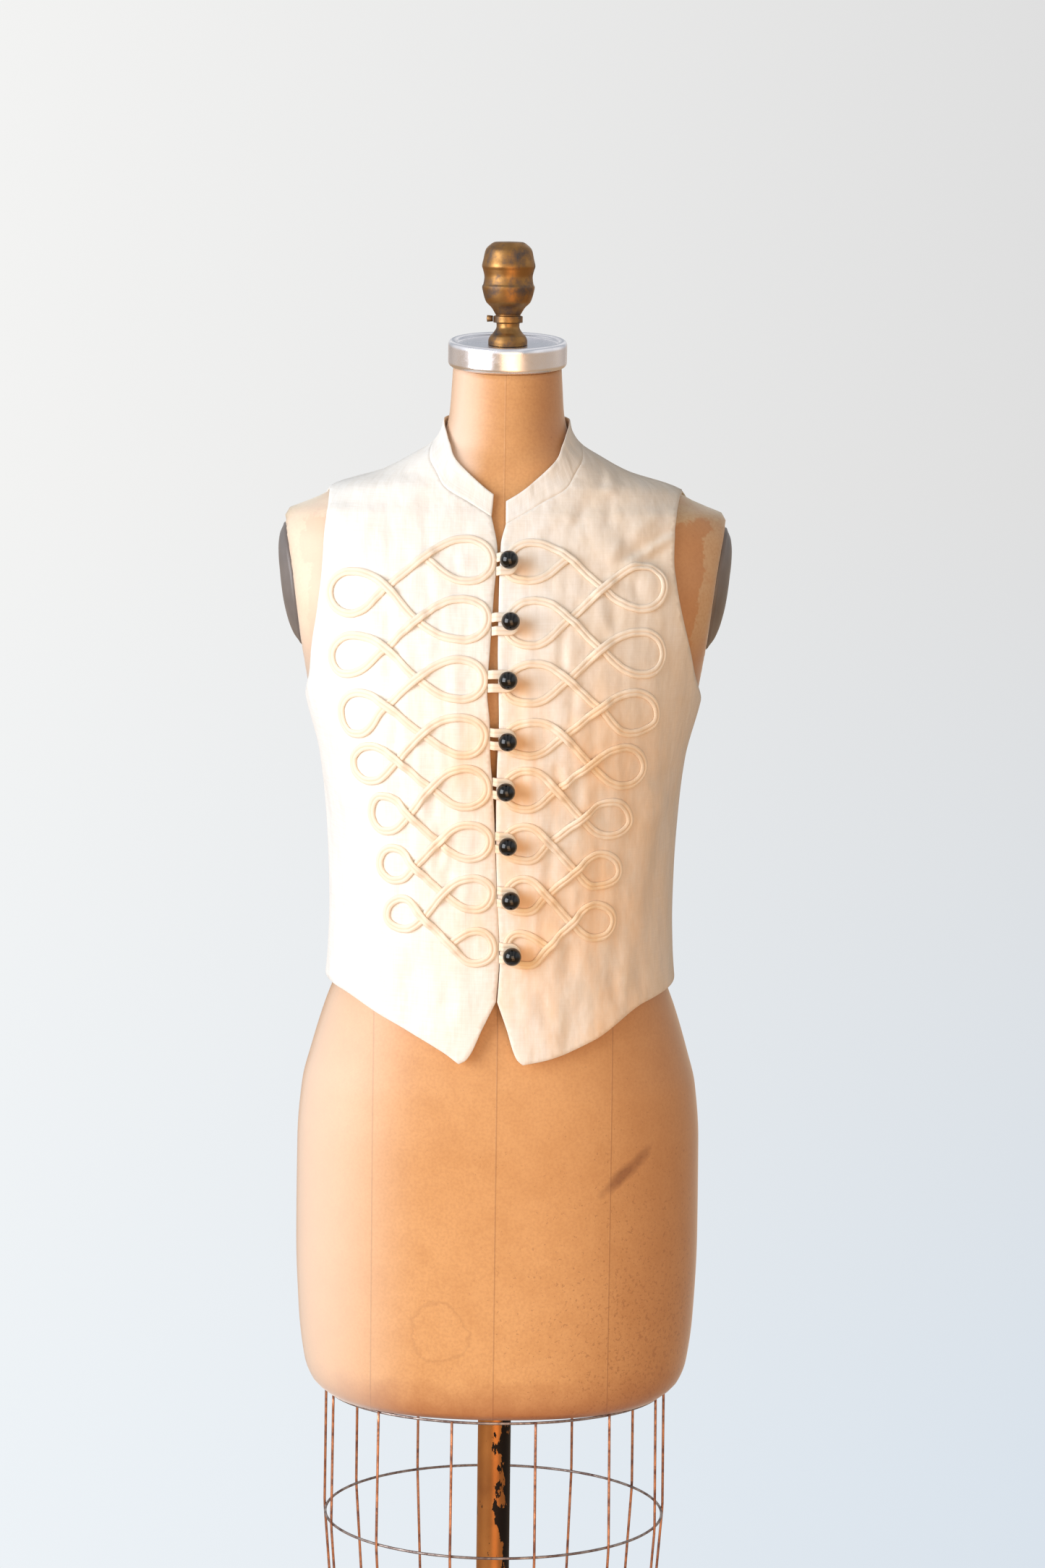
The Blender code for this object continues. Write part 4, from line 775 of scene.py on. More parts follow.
def painted_warm_light(tree, most):
    """Share of painted warm light, where the tan form shines through the thin cloth: low on the front, beside
    the centre and beside each button, and patchy.
    """
    place, along, deep, up = place_in(tree)
    stretched = node(tree, "Mapping", {0: place, 3: (2.2, 1.0, 0.8)})
    patch = node(tree, "TexNoise", {0: stretched, 2: 14.0, 3: 5.0, 4: 0.6})
    patch = node(tree, "MapRange", {0: patch, 1: 0.38, 2: 0.64, 3: 0.10, 4: 1.0})
    aside = node(tree, "Math", {0: along, 1: 0.045}, operation="SUBTRACT")
    aside = node(tree, "Math", {0: aside}, operation="ABSOLUTE")
    near = node(tree, "MapRange", {0: aside, 1: 0.04, 2: 0.15, 3: 1.0, 4: 0.0}, **SOFT_ENDS)
    high = node(tree, "MapRange", {0: up, 1: 1.34, 2: 1.20, 3: 0.0, 4: 1.0}, **SOFT_ENDS)
    slanting = node(tree, "Math", {0: up, 1: 0.5, 2: along}, operation="MULTIPLY_ADD")
    low = node(tree, "MapRange", {0: slanting, 1: 0.465, 2: 0.520, 3: 0.0, 4: 1.0}, **SOFT_ENDS)
    front = node(tree, "MapRange", {0: deep, 1: -0.09, 2: -0.02, 3: most, 4: 0.0})
    for part in (near, high, low, front):
        patch = node(tree, "Math", {0: patch, 1: part}, operation="MULTIPLY")
    glow = node(tree, "Attribute", out=2, attribute_name="glow")
    return node(tree, "Math", {0: glow, 1: 0.8, 2: patch}, operation="MULTIPLY_ADD", use_clamp=True)


linen, tree, shader = finish_of("bleached_linen", Roughness=0.88, Sheen_Weight=0.12, Sheen_Roughness=0.5)
flat_place = node(tree, "UVMap", uv_map="flat")
warp = node(tree, "Mapping", {0: flat_place, 3: (1 / (2.2 * THREAD), 1 / SLUB_LENGTH, 1)})
weft = node(tree, "Mapping", {0: flat_place, 3: (1 / SLUB_LENGTH, 1 / (2.2 * THREAD), 1)})
warp_slub = node(tree, "TexNoise", {0: warp, 2: 1.0, 3: 2.0})
weft_slub = node(tree, "TexNoise", {0: weft, 2: 1.0, 3: 2.0})
slubs = node(tree, "Math", {0: warp_slub, 1: weft_slub}, operation="ADD")
threads_up = node(tree, "TexWave", {0: flat_place, 1: 2 * pi / (20 * THREAD)}, out=1, bands_direction="X")
threads_over = node(tree, "TexWave", {0: flat_place, 1: 2 * pi / (20 * THREAD)}, out=1, bands_direction="Y")
weave = node(tree, "Math", {0: threads_up, 1: threads_over}, operation="MULTIPLY")
# Painted shade: upright tan streaks stand in for the shade in the puckers' troughs, stronger towards the
# shaded right side.
streaky = node(tree, "Mapping", {0: flat_place, 2: (0, 0, 0.2), 3: (44.0, 21.0, 1.0)})
clouds = node(tree, "TexNoise", {0: streaky, 2: 1.0, 3: 4.0, 4: 0.6})
tone = node(tree, "MapRange", {0: slubs, 1: 0.75, 2: 1.25, 3: 0.0, 4: 1.0})
fresh = node(tree, "Mix", {0: tone, 6: colour("#F2EEE6"), 7: colour("#F9F7F2")}, **COLOURS)
painted_streak_shade = node(tree, "MapRange", {0: clouds, 1: 0.42, 2: 0.70, 3: 0.0, 4: 0.32})
along = node(tree, "SeparateXYZ", {0: node(tree, "TexCoord", out=3)})
# Painted shade: the cloth is tinted tan towards its right side, away from the window.
painted_linen_right_shade = node(tree, "MapRange", {0: along, 1: 0.0, 2: 0.09, 3: 0.0, 4: 0.38}, **SOFT_ENDS)
shaded_side = node(tree, "MapRange", {0: along, 1: -0.11, 2: 0.03, 3: 0.2, 4: 1.0})
painted_streak_shade = node(tree, "Math", {0: painted_streak_shade, 1: shaded_side}, operation="MULTIPLY")
painted_shaded_linen = node(tree, "Mix", {0: painted_streak_shade, 6: fresh, 7: colour("#E6CFAC")}, **COLOURS)
painted_shaded_linen = node(tree, "Mix", {0: painted_linen_right_shade, 6: painted_shaded_linen, 7: colour("#DFC19A")}, **COLOURS)
# Painted warm light: a peach tint low on the front, beside the centre and beside each button.
shade = node(tree, "Mix", {0: painted_warm_light(tree, 0.68), 6: painted_shaded_linen, 7: colour("#F8CFA3")}, **COLOURS)
raised = node(tree, "Bump", {"Strength": 0.30, "Distance": 0.18 * MM, "Height": slubs})
raised = node(tree, "Bump", {"Strength": 0.30, "Distance": 0.07 * MM, "Height": weave, "Normal": raised})
crumpled = node(tree, "Mapping", {0: flat_place, 2: (0, 0, 0.25), 3: (50.0, 27.0, 1.0)})
crumple = node(tree, "TexNoise", {0: crumpled, 2: 1.0, 3: 2.5, 4: 0.45})
raised = node(tree, "Bump", {"Strength": 0.7, "Distance": 3.6 * MM, "Height": crumple, "Normal": raised})
linked(tree, shader, Base_Color=shade, Normal=raised)
print("linen threads every", THREAD / MM, "mm")

# %% Cut the fronts and the back
BACK_SPACING = 4.4 * MM

fronts = {}
for side, turn in (("right", 1), ("left", -1)):
    whole, held = front_outline(side)
    fronts[side] = cut("linen_front_" + side, "front_" + side, whole, held, turn, linen)
whole, held = back_outline()
back = cut("linen_back", "back", whole, held, 1, linen, True, BACK_SPACING)

# %% [markdown]
# ## The collar
# The collar is a narrow standing band, cut slightly curved. It is the trunk's own surface between
# the neck seam and the band's top edge, so a plain grid does: one parameter goes round the neck,
# the other up the band. The band leans out by up to a millimetre at its top.

# %% The collar
def collar(rows=9, columns=300):
    """Points of the band: trunk(angle, run) with the run going from the neck seam to the top edge."""
    table = np.array(COLLAR)
    first = float(angle_at(VEST_SECTIONS, *CENTRE_EDGE["right"][0]))
    last = 2 * pi - float(angle_at(VEST_SECTIONS, *CENTRE_EDGE["left"][0]))
    angle = np.linspace(first, last, columns + 1)
    folded = pi - np.abs(pi - angle)
    low = to_run(smooth(np.radians(table[:, 0]), table[:, 1], folded)) + SEAM_GAP / 2
    high = to_run(smooth(np.radians(table[:, 0]), table[:, 2], folded))
    up = np.linspace(0, 1, rows + 1)[:, None]
    grid = np.stack([np.broadcast_to(angle, (rows + 1, columns + 1)), (1 - up) * low + up * high], axis=-1)
    outer, out = cloth_points("collar", grid, 0.0)
    outer = outer + out * (up**2 * MM)[..., None]
    steps = np.linalg.norm(np.diff(outer, axis=0), axis=-1)
    rise = np.concatenate([0 * steps[:1], np.cumsum(steps, axis=0)])
    length = run_of(outer[rows // 2])
    flat = np.stack([np.broadcast_to(length, rise.shape), rise], axis=-1)
    faces = grid_faces(rows + 1, columns + 1)
    made = wall("linen_collar", outer.reshape(-1, 3), out.reshape(-1, 3), faces, flat.reshape(-1, 2), linen)
    area = float((rise[-1, 1:] * np.diff(length)).sum())
    return made, (float(length[-1]), float(rise.max())), area


band = collar()
print(f"collar: {band[1][0]:.3f} m long, {band[1][1] / MM:.0f} mm high, {band[2]:.4f} square metres")

# %% [markdown]
# ## The looped braid
# The ornament is soutache, a flat braid of two cords worked together, so it has two round ridges
# and a groove between them. One length on each front makes a pair of loops for every button,
# passes over and under itself, and goes on to the next row. Its line is a smooth curve through
# the loops' tips and sides. The profile is carried along that line on the cloth's own surface,
# and lifted where it crosses over itself.

# %% The braid's line
BRAID_WIDTH = 7.2 * MM
BRAID_THICK = 1.9 * MM
BRAID_LIFT = 0.45 * MM
CROSS_RISE = 2.3 * MM
CROSS_FLAT = 5 * MM
CROSS_RAMP = 9 * MM
BRAID_STEP = 1.7 * MM

# Braid rows: distance from the centre in mm and height of eight places.
# First line: inner loop's near edge, its top edge, the crossing behind it, its bottom edge.
# Second line: outer loop's crossing, its top edge, its far edge, its bottom edge.
BRAID = {
    "right": (
        (-2.1, 1.3738, 23.1, 1.3980, 55.1, 1.3815, 20.5, 1.3591,
         85.3, 1.3564, 120.8, 1.3776, 141.0, 1.3548, 121.2, 1.3355),
        (-1.4, 1.3252, 26.2, 1.3501, 56.5, 1.3314, 22.8, 1.3055,
         83.9, 1.3059, 118.5, 1.3234, 141.4, 1.3002, 121.9, 1.2800),
        (-1.9, 1.2743, 28.4, 1.2977, 55.6, 1.2805, 23.4, 1.2574,
         83.3, 1.2560, 113.6, 1.2722, 135.9, 1.2485, 111.4, 1.2300),
        (-1.3, 1.2280, 27.5, 1.2484, 52.8, 1.2327, 24.0, 1.2121,
         75.9, 1.2074, 105.8, 1.2249, 125.3, 1.2037, 106.6, 1.1836),
        (-2.1, 1.1836, 22.5, 1.2061, 47.3, 1.1852, 20.6, 1.1645,
         68.9, 1.1596, 95.6, 1.1768, 113.9, 1.1563, 93.5, 1.1394),
        (-1.5, 1.1353, 20.7, 1.1564, 42.4, 1.1375, 22.4, 1.1187,
         64.4, 1.1128, 86.7, 1.1303, 105.9, 1.1108, 82.9, 1.0945),
        (0.3, 1.0869, 19.8, 1.1097, 40.3, 1.0910, 21.7, 1.0728,
         62.0, 1.0661, 81.8, 1.0852, 101.8, 1.0663, 83.7, 1.0479),
        (1.5, 1.0396, 16.2, 1.0607, 41.6, 1.0445, 24.9, 1.0252),
    ),
    "left": (
        (7.0, 1.3779, 32.7, 1.4003, 69.0, 1.3807, 32.0, 1.3581,
         101.3, 1.3552, 131.0, 1.3705, 154.6, 1.3487, 133.9, 1.3278),
        (9.9, 1.3309, 34.7, 1.3505, 74.5, 1.3282, 34.0, 1.3096,
         101.0, 1.3042, 129.4, 1.3169, 151.6, 1.2952, 137.3, 1.2763),
        (12.6, 1.2797, 36.6, 1.3004, 73.3, 1.2796, 36.1, 1.2599,
         99.6, 1.2556, 123.1, 1.2684, 143.1, 1.2483, 126.7, 1.2249),
        (11.6, 1.2328, 35.9, 1.2516, 68.7, 1.2329, 31.5, 1.2118,
         89.9, 1.2083, 112.6, 1.2227, 131.3, 1.2050, 114.0, 1.1843),
        (8.4, 1.1857, 29.9, 1.2072, 60.9, 1.1853, 31.1, 1.1660,
         79.3, 1.1606, 102.5, 1.1793, 115.4, 1.1603, 99.5, 1.1405),
        (6.0, 1.1397, 28.0, 1.1574, 54.0, 1.1372, 26.3, 1.1200,
         74.0, 1.1143, 93.3, 1.1332, 108.1, 1.1148, 91.6, 1.0970),
        (4.0, 1.0937, 23.4, 1.1097, 49.6, 1.0918, 21.7, 1.0746,
         66.4, 1.0690, 84.5, 1.0883, 101.8, 1.0692, 85.0, 1.0538),
        (1.9, 1.0431, 18.9, 1.0626, 43.2, 1.0465, 21.7, 1.0263),
    ),
}


def unit(vector):
    """A flat direction of length one."""
    vector = np.array(vector, float)
    return vector / np.linalg.norm(vector)


def braid_nodes(rows):
    """The centre line of one side's braid as (x, height, direction x, direction height, crossing) nodes.

    Crossing is +1 where the braid passes over itself, -1 where it passes under and 0 elsewhere.
    """
    half = BRAID_WIDTH / 2
    nodes = []

    def put(point, direction, crossing=0):
        """Adds a node at a point, with the line's direction there."""
        nodes.append((*point, *unit(direction), crossing))

    tips = [np.array([r[4] * MM, r[5]]) for r in rows]
    came = tips[0] + np.array([0.020, 0.016])
    for k, r in enumerate(rows):
        near = np.array([r[0] * MM + half, r[1]])
        top = np.array([r[2] * MM, r[3] - half])
        bottom = np.array([r[6] * MM, r[7] + half])
        last = len(r) == 8
        tip = tips[k]
        put(tip, unit(tip - came) + 0.6 * unit(bottom - tip), 1 if last else -1)
        put(bottom, (-1, 0))
        put(near, (0, 1))
        put(top, (1, 0))
        if last:
            put(tip, unit(tip - top) + np.array([0, -0.2]), -1)
            break
        cross = np.array([r[8] * MM, r[9]])
        outer_top = np.array([r[10] * MM, r[11] - half])
        far = np.array([r[12] * MM - half, r[13]])
        outer_bottom = np.array([r[14] * MM, r[15] + half])
        put(tip, unit(cross - tip) + 0.25 * unit(tip - top), 1)
        put(cross, unit(cross - tip) + 0.25 * unit(outer_bottom - cross), -1)
        put(outer_bottom, (1, 0))
        put(far, (0, 1))
        put(outer_top, (-1, 0))
        put(cross, unit(tips[k + 1] - cross) + 0.25 * unit(cross - outer_top), 1)
        came = cross
    return nodes


def braid_line(nodes):
    """A fine line through the nodes, each stretch a cubic that leaves and arrives in their directions."""
    line, over, run = [], [], 0.0
    u = np.linspace(0, 1, 33)[:, None]
    for (x0, z0, a0, b0, kind), (x1, z1, a1, b1, _) in zip(nodes, nodes[1:]):
        if kind > 0:
            over.append(run)
        p, q = np.array([x0, z0]), np.array([x1, z1])
        pull = 1.17 * np.linalg.norm(q - p)
        start = (1 + 2 * u) * (1 - u) ** 2 * p + u * (1 - u) ** 2 * pull * np.array([a0, b0])
        stretch = start + u**2 * (3 - 2 * u) * q + u**2 * (u - 1) * pull * np.array([a1, b1])
        run += run_of(stretch)[-1]
        line.append(stretch[1:] if line else stretch)
    return np.concatenate(line), np.array(over)


print("rows of braid loops:", {side: len(rows) for side, rows in BRAID.items()})

# %% The braid's profile, carried along the line
def soutache_profile():
    """Offsets and heights round the braid: a flat foot, two round ridges, and a groove where they meet."""
    turn = np.concatenate([np.linspace(0, pi, 15), np.linspace(pi, 2 * pi, 5)[1:-1]])
    off = np.cos(turn)
    ridge_height = np.maximum(np.sin(turn), 0) ** 0.55 * (1 - 0.42 * np.exp(-((off / 0.16) ** 2)))
    return off / 2, np.where(turn <= pi, ridge_height, 0.0)


def laid_flat(run, off):
    """Flat places of a braid's rings: the run in one direction, the offset from the groove in the other."""
    return np.stack(np.broadcast_arrays(run[:, None], off[None]), axis=-1)


def braid(side, finish):
    """foot(run, offset) on the front's surface plus its outward direction times the lift and the profile."""
    panel, turn = "front_" + side, 1 if side == "right" else -1
    line, over = braid_line(braid_nodes(BRAID[side]))
    run = run_of(line)
    wanted = np.linspace(0, run[-1], int(run[-1] / BRAID_STEP))
    x, z = np.interp(wanted, run, line[:, 0]) * turn, np.interp(wanted, run, line[:, 1])
    share = np.clip((CROSS_FLAT + CROSS_RAMP - np.abs(wanted[:, None] - over[None])) / CROSS_RAMP, 0, 1)
    lift = BRAID_LIFT + CROSS_RISE * (share**2 * (3 - 2 * share)).max(axis=1)
    middle, out = front_face(panel, x, z)
    forward = np.gradient(middle, axis=0)
    forward /= np.linalg.norm(forward, axis=1)[:, None]
    sideways = np.cross(forward, out)
    sideways /= np.linalg.norm(sideways, axis=1)[:, None]
    off, high = soutache_profile()
    foot = middle[:, None] + sideways[:, None] * (off[None, :, None] * BRAID_WIDTH)
    foot, out = front_face(panel, foot[..., 0], foot[..., 2])
    rings = foot + out * (lift[:, None] + high[None] * BRAID_THICK)[..., None]
    made = tube("soutache_" + side, rings, laid_flat(wanted, off * BRAID_WIDTH), finish)
    print(f"soutache_{side}: {run[-1]:.2f} m of braid, {len(over)} crossings over")
    return made


# %% [markdown]
# Soutache is woven of bright rayon or cotton thread in a herringbone: fine slanting threads that
# meet in the groove. Its own UV map has the run in one direction and the offset from the groove in
# the other, so a wave of run plus the offset's size gives the herringbone. The real threads lie
# 0.5 mm apart. They are drawn at 0.9 mm, as fine as the picture can show.

# %% Braid finish
HERRINGBONE = 0.9 * MM

soutache, tree, shader = finish_of(
    "cream_soutache_braid", Roughness=0.62, Sheen_Weight=0.25, Sheen_Roughness=0.4
)
flat_place = node(tree, "UVMap", uv_map="flat")
parts = tree.nodes.new("ShaderNodeSeparateXYZ")
tree.links.new(flat_place, parts.inputs[0])
width_way = node(tree, "Math", {0: parts.outputs[1]}, operation="ABSOLUTE")
slant = node(tree, "Math", {0: parts.outputs[0], 1: width_way}, operation="ADD")
turn_of_wave = node(tree, "Math", {0: slant, 1: 2 * pi / HERRINGBONE}, operation="MULTIPLY")
threads = node(tree, "Math", {0: turn_of_wave}, operation="SINE")
# Painted shade: the groove and the braid's two edges are darkened towards peach in its colour.
groove = node(tree, "MapRange", {0: width_way, 1: 0.0, 2: 0.8 * MM, 3: 1.0, 4: 0.0})
edge = node(tree, "MapRange", {0: width_way, 1: 2.7 * MM, 2: 3.6 * MM, 3: 0.0, 4: 0.45})
painted_groove_edge_shade = node(tree, "Math", {0: groove, 1: edge}, operation="MAXIMUM")
clouds = node(tree, "TexNoise", {0: flat_place, 2: 25.0, 3: 3.0})
even = node(tree, "Mix", {0: clouds, 6: colour("#FDF2E2"), 7: colour("#F9E8D0")}, **COLOURS)
# Painted warm light: the braid takes the same peach tint as the linen around it.
even = node(tree, "Mix", {0: painted_warm_light(tree, 0.75), 6: even, 7: colour("#FBD29C")}, **COLOURS)
depth = node(tree, "Math", {0: painted_groove_edge_shade, 1: 0.30}, operation="MULTIPLY")
shade = node(tree, "Mix", {0: depth, 6: even, 7: colour("#E6AF78")}, **COLOURS)
raised = node(tree, "Bump", {"Strength": 0.5, "Distance": 0.12 * MM, "Height": threads})
linked(tree, shader, Base_Color=shade, Normal=raised)

braids = {side: braid(side, soutache) for side in ("right", "left")}

# %% [markdown]
# ## Button loops and ball buttons
# Each button is held by a small flat loop of the same braid, which comes out from under the left
# front's edge, passes round the button's shank and goes back. The buttons are glossy black balls,
# sewn on by a short shank. They were pressed from glass or moulded, so they have no grain, only a
# clear deep gloss with a few hair scratches.

# %% Loops
BUTTONS = (
    (0.0040, 1.3757), (0.0060, 1.3261), (0.0046, 1.2788), (0.0048, 1.2301),
    (0.0039, 1.1869), (0.0060, 1.1386), (0.0089, 1.0903), (0.0106, 1.0398),
)
BUTTON_RADIUS = 8 * MM
SHANK_RADIUS = 1.0 * MM
LOOP_HALF = 5.6 * MM
# The loop's round end is centred this far short of the button's middle
LOOP_SHORT = 1.5 * MM
LOOP_BAND = 7.6 * MM
LOOP_THICK = 1.6 * MM
LOOP_UNDER = 3.1 * MM
BUTTON_STAND = LOOP_UNDER + LOOP_THICK + 0.8 * MM


def button_loop(number, x, z, finish):
    """A band's profile carried out from the left edge, round a half circle and back."""
    edge = np.array(CENTRE_EDGE["left"])[::-1]
    start = float(np.interp(z, edge[:, 1], edge[:, 0])) + 0.4 * MM
    turn = np.linspace(0, pi, 29)
    bend = np.stack([x - LOOP_SHORT + LOOP_HALF * np.sin(turn), z + LOOP_HALF * np.cos(turn)], axis=-1)
    out_way = np.stack([np.linspace(start, x - LOOP_SHORT, 13), np.full(13, z + LOOP_HALF)], axis=-1)[:-1]
    line = np.concatenate([out_way, bend, out_way[::-1] * (1, -1) + (0, 2 * z)])
    run = run_of(line)
    step = np.gradient(line, axis=0)
    step /= np.linalg.norm(step, axis=1)[:, None]
    off, high = soutache_profile()
    aside = np.stack([step[:, 1], -step[:, 0]], axis=-1)
    beside = line[:, None] + aside[:, None] * (off * LOOP_BAND)[None, :, None]
    foot, out = front_face("front_right", np.maximum(beside[..., 0], 1.2 * MM), beside[..., 1])
    foot[..., 0] = beside[..., 0]
    share = np.clip(np.minimum(run, run[-1] - run) / (4 * MM), 0, 1)
    under = BRAID_LIFT + (LOOP_UNDER - BRAID_LIFT) * share**2 * (3 - 2 * share)
    rings = foot + out * (under[:, None] + high[None] * LOOP_THICK)[..., None]
    return tube(f"loop_{number}", rings, laid_flat(run, off * LOOP_BAND), finish)


loops = [button_loop(k + 1, x, z, soutache) for k, (x, z) in enumerate(BUTTONS)]
print(len(loops), "loops")

# %% [markdown]
# The form's tan canvas shines through the thin cloth beside each button, where the front lies
# close on it and the button shades it. That warm light is painted into the colour. A value at
# each point holds the painted glow: a bell curve of the distance from a place a little below and
# to the right of each button. The linen's and the braid's finish read it.

# %% The painted warm glow beside each button
GLOW_ASIDE, GLOW_BELOW = 12 * MM, 5 * MM
GLOW_REACH = 9 * MM

for thing in (fronts["right"][0], fronts["left"][0], *braids.values()):
    places = np.empty(3 * len(thing.data.vertices), np.float32)
    thing.data.vertices.foreach_get("co", places)
    x, _, z = places.reshape(-1, 3).T
    squares = [(x - bx - GLOW_ASIDE) ** 2 + (z - bz + GLOW_BELOW) ** 2 for bx, bz in BUTTONS]
    glow = sum(np.exp(-square / GLOW_REACH**2) for square in squares)
    thing.data.attributes.new("glow", "FLOAT", "POINT").data.foreach_set("value", glow.astype(np.float32))
    print(thing.name, "glows most by", round(float(glow.max()), 2))

# %% Turned pieces
def turned(profile, around, middle=(0.0, 0.0), fine=0.0):
    """Rings of a profile of (radius, height) pairs turned about the upright axis through the middle."""
    profile = np.array(profile, float)
    if fine:
        profile = respaced(profile, fine)
    profile[[0, -1], 0] = np.maximum(profile[[0, -1], 0], 1e-5)
    turn = np.linspace(0, 2 * pi, around, endpoint=False)
    x = middle[0] + profile[:, :1] * np.cos(turn)
    y = middle[1] + profile[:, :1] * np.sin(turn)
    return np.stack([x, y, profile[:, 1:] + 0 * x], axis=-1)


# %% Black glass buttons
glass, tree, shader = finish_of(
    "black_pressed_glass", Coat_Weight=0.25, Coat_Roughness=0.03, Specular_IOR_Level=0.35
)
place = node(tree, "TexCoord", out=3)
scratches = node(tree, "TexNoise", {0: place, 2: 900.0, 3: 4.0})
patches = node(tree, "TexNoise", {0: place, 2: 120.0, 3: 2.0})
dust = node(tree, "MapRange", {0: scratches, 1: 0.62, 2: 0.80, 3: 0.05, 4: 0.16})
tint = node(tree, "Mix", {0: patches, 6: colour("#010101"), 7: colour("#060404")}, **COLOURS)
linked(tree, shader, Base_Color=tint, Roughness=dust)


def ball_button(number, x, z, finish, around=48):
    """A ball on a short shank, turned about an axis and laid square to the front."""
    base, out = front_face("front_right", np.array([max(x, 0.002)]), np.array([z]))
    base, out = base[0], out[0]
    across = np.cross((0, 0, 1), out)
    across /= np.linalg.norm(across)
    first = np.arcsin(SHANK_RADIUS / BUTTON_RADIUS)
    polar = np.linspace(first, pi, 32)
    middle = BUTTON_STAND + BUTTON_RADIUS
    ball = np.stack([BUTTON_RADIUS * np.sin(polar), middle - BUTTON_RADIUS * np.cos(polar)], axis=-1)
    profile = np.concatenate([[(0.0, 1.0 * MM), (SHANK_RADIUS, 1.0 * MM)], ball])
    rings = turned(profile, around)
    rings = base + rings[..., :1] * across + rings[..., 1:2] * np.cross(out, across) + rings[..., 2:] * out
    return tube(f"ball_{number}", rings, None, finish)


balls = [ball_button(k + 1, x, z, glass) for k, (x, z) in enumerate(BUTTONS)]
print(len(balls), "buttons", 2 * BUTTON_RADIUS / MM, "mm across")

# %% [markdown]
# ## The dress form
# The form's trunk is papier-mache, covered in a tight tan canvas that was cut in upright gores.
# The cover has aged to orange brown, with darker specks, a stain and a paler worn shoulder. It is
# the trunk function again, on the form's own table, with both arm ends cut off flat.

# %% The form's body
# The flat arm end: distance from the centre at a height, its lean, and how it turns out above
ARM_END_OUT, ARM_END_AT, ARM_END_LEAN = 0.1862, 1.372, 0.125
ARM_END_FLARE, ARM_END_BEND = 0.003, (1.3600, 1.4124)
# The cap: middle of its depth, seat height, lean, and where the neck starts to slope
CAP_MIDDLE = 0.001
CAP_SEAT = 1.5405
CAP_TILT = radians(6)
TILT_START = 1.500


def arm_plane(height):
    """Distance from the centre of the flat arm end at a height: it leans, and turns out near its top."""
    low, high = ARM_END_BEND
    bend = np.clip((height - low) / (high - low), 0, 1)
    return ARM_END_OUT - ARM_END_LEAN * (ARM_END_AT - height) + ARM_END_FLARE * bend


def sloped(points):
    """z + (y - middle) tan(tilt) s: s goes smoothly from 0 at the neck's start to 1 at its top."""
    share = np.clip((points[..., 2] - TILT_START) / (FORM_SECTIONS[-1][0] - TILT_START), 0, 1)
    rise = (points[..., 1] - CAP_MIDDLE) * tan(CAP_TILT) * share**2 * (3 - 2 * share)
    return np.stack([points[..., 0], points[..., 1], points[..., 2] + rise], axis=-1)


def form_rings(around=220, step=5 * MM):
    """trunk(angle, height) for the form, held inside the two arm planes, its neck sloped forward."""
    low, high = FORM_SECTIONS[0][0], FORM_SECTIONS[-1][0]
    height = np.linspace(low, high, int((high - low) / step))[:, None]
    angle = (np.arange(around) + 0.5)[None] * 2 * pi / around
    points = trunk(FORM_SECTIONS, angle + 0 * height, height + 0 * angle)
    limit = np.where((height > 1.25) & (height < 1.43), arm_plane(height), 1.0)
    points[..., 0] = np.clip(points[..., 0], -limit, limit)
    return sloped(points)


# %% [markdown]
# The canvas is a plain weave of thick cotton, about twelve threads to the centimetre, sized and
# varnished, so it is smoother than linen. Gore seams are thin dark lines at steady distances from
# the centre. Specks and stain are noise, held to the places where the picture shows them.

# %% Aged canvas
CANVAS_THREAD = 0.85 * MM
GORES = (-0.110, -0.001, 0.100)
STAIN = ((-0.0505, 0.6960), (0.0250, 0.0270))
SMEAR = ((0.1133, 0.8390), radians(43), (0.0300, 0.0075))

canvas, tree, shader = finish_of(
    "aged_form_canvas", Roughness=0.5, Specular_IOR_Level=0.75, Sheen_Weight=0.7, Sheen_Roughness=0.4
)
place, along, deep, up = place_in(tree)
weave_x = node(tree, "TexWave", {0: place, 1: 2 * pi / (20 * CANVAS_THREAD)}, out=1, bands_direction="X")
weave_z = node(tree, "TexWave", {0: place, 1: 2 * pi / (20 * CANVAS_THREAD)}, out=1, bands_direction="Z")
weave = node(tree, "Math", {0: weave_x, 1: weave_z}, operation="MULTIPLY")
broad = node(tree, "TexNoise", {0: place, 2: 4.0, 3: 4.0})
cloud = node(tree, "TexNoise", {0: place, 2: 28.0, 3: 6.0, 4: 0.65})
front_side = node(tree, "MapRange", {0: deep, 1: -0.03, 2: 0.0, 3: 1.0, 4: 0.0})


def spot(middle, angle, size, ragged):
    """Distance from a place on the front in half sizes along and across a direction, made ragged by noise."""
    (x, z), (a, b), (c, s) = middle, size, (cos(angle), sin(angle))
    u = node(tree, "VectorMath", {0: place, 1: (c / a, 0, s / a)}, out=1, operation="DOT_PRODUCT")
    v = node(tree, "VectorMath", {0: place, 1: (-s / b, 0, c / b)}, out=1, operation="DOT_PRODUCT")
    u = node(tree, "Math", {0: u, 1: (c * x + s * z) / a}, operation="SUBTRACT")
    v = node(tree, "Math", {0: v, 1: (c * z - s * x) / b}, operation="SUBTRACT")
    flat = node(tree, "CombineXYZ", {0: u, 1: v})
    away = node(tree, "VectorMath", {0: flat}, out=1, operation="LENGTH")
    return node(tree, "Math", {0: cloud, 1: ragged, 2: away}, operation="MULTIPLY_ADD")


def stain_and_painted_light(body, share, code):
    """The body's colour with another laid over it by a share: the stains and wear, and also the painted
    highlight and shade.
    """
    return node(tree, "Mix", {0: share, 6: body, 7: colour(code)}, **COLOURS)


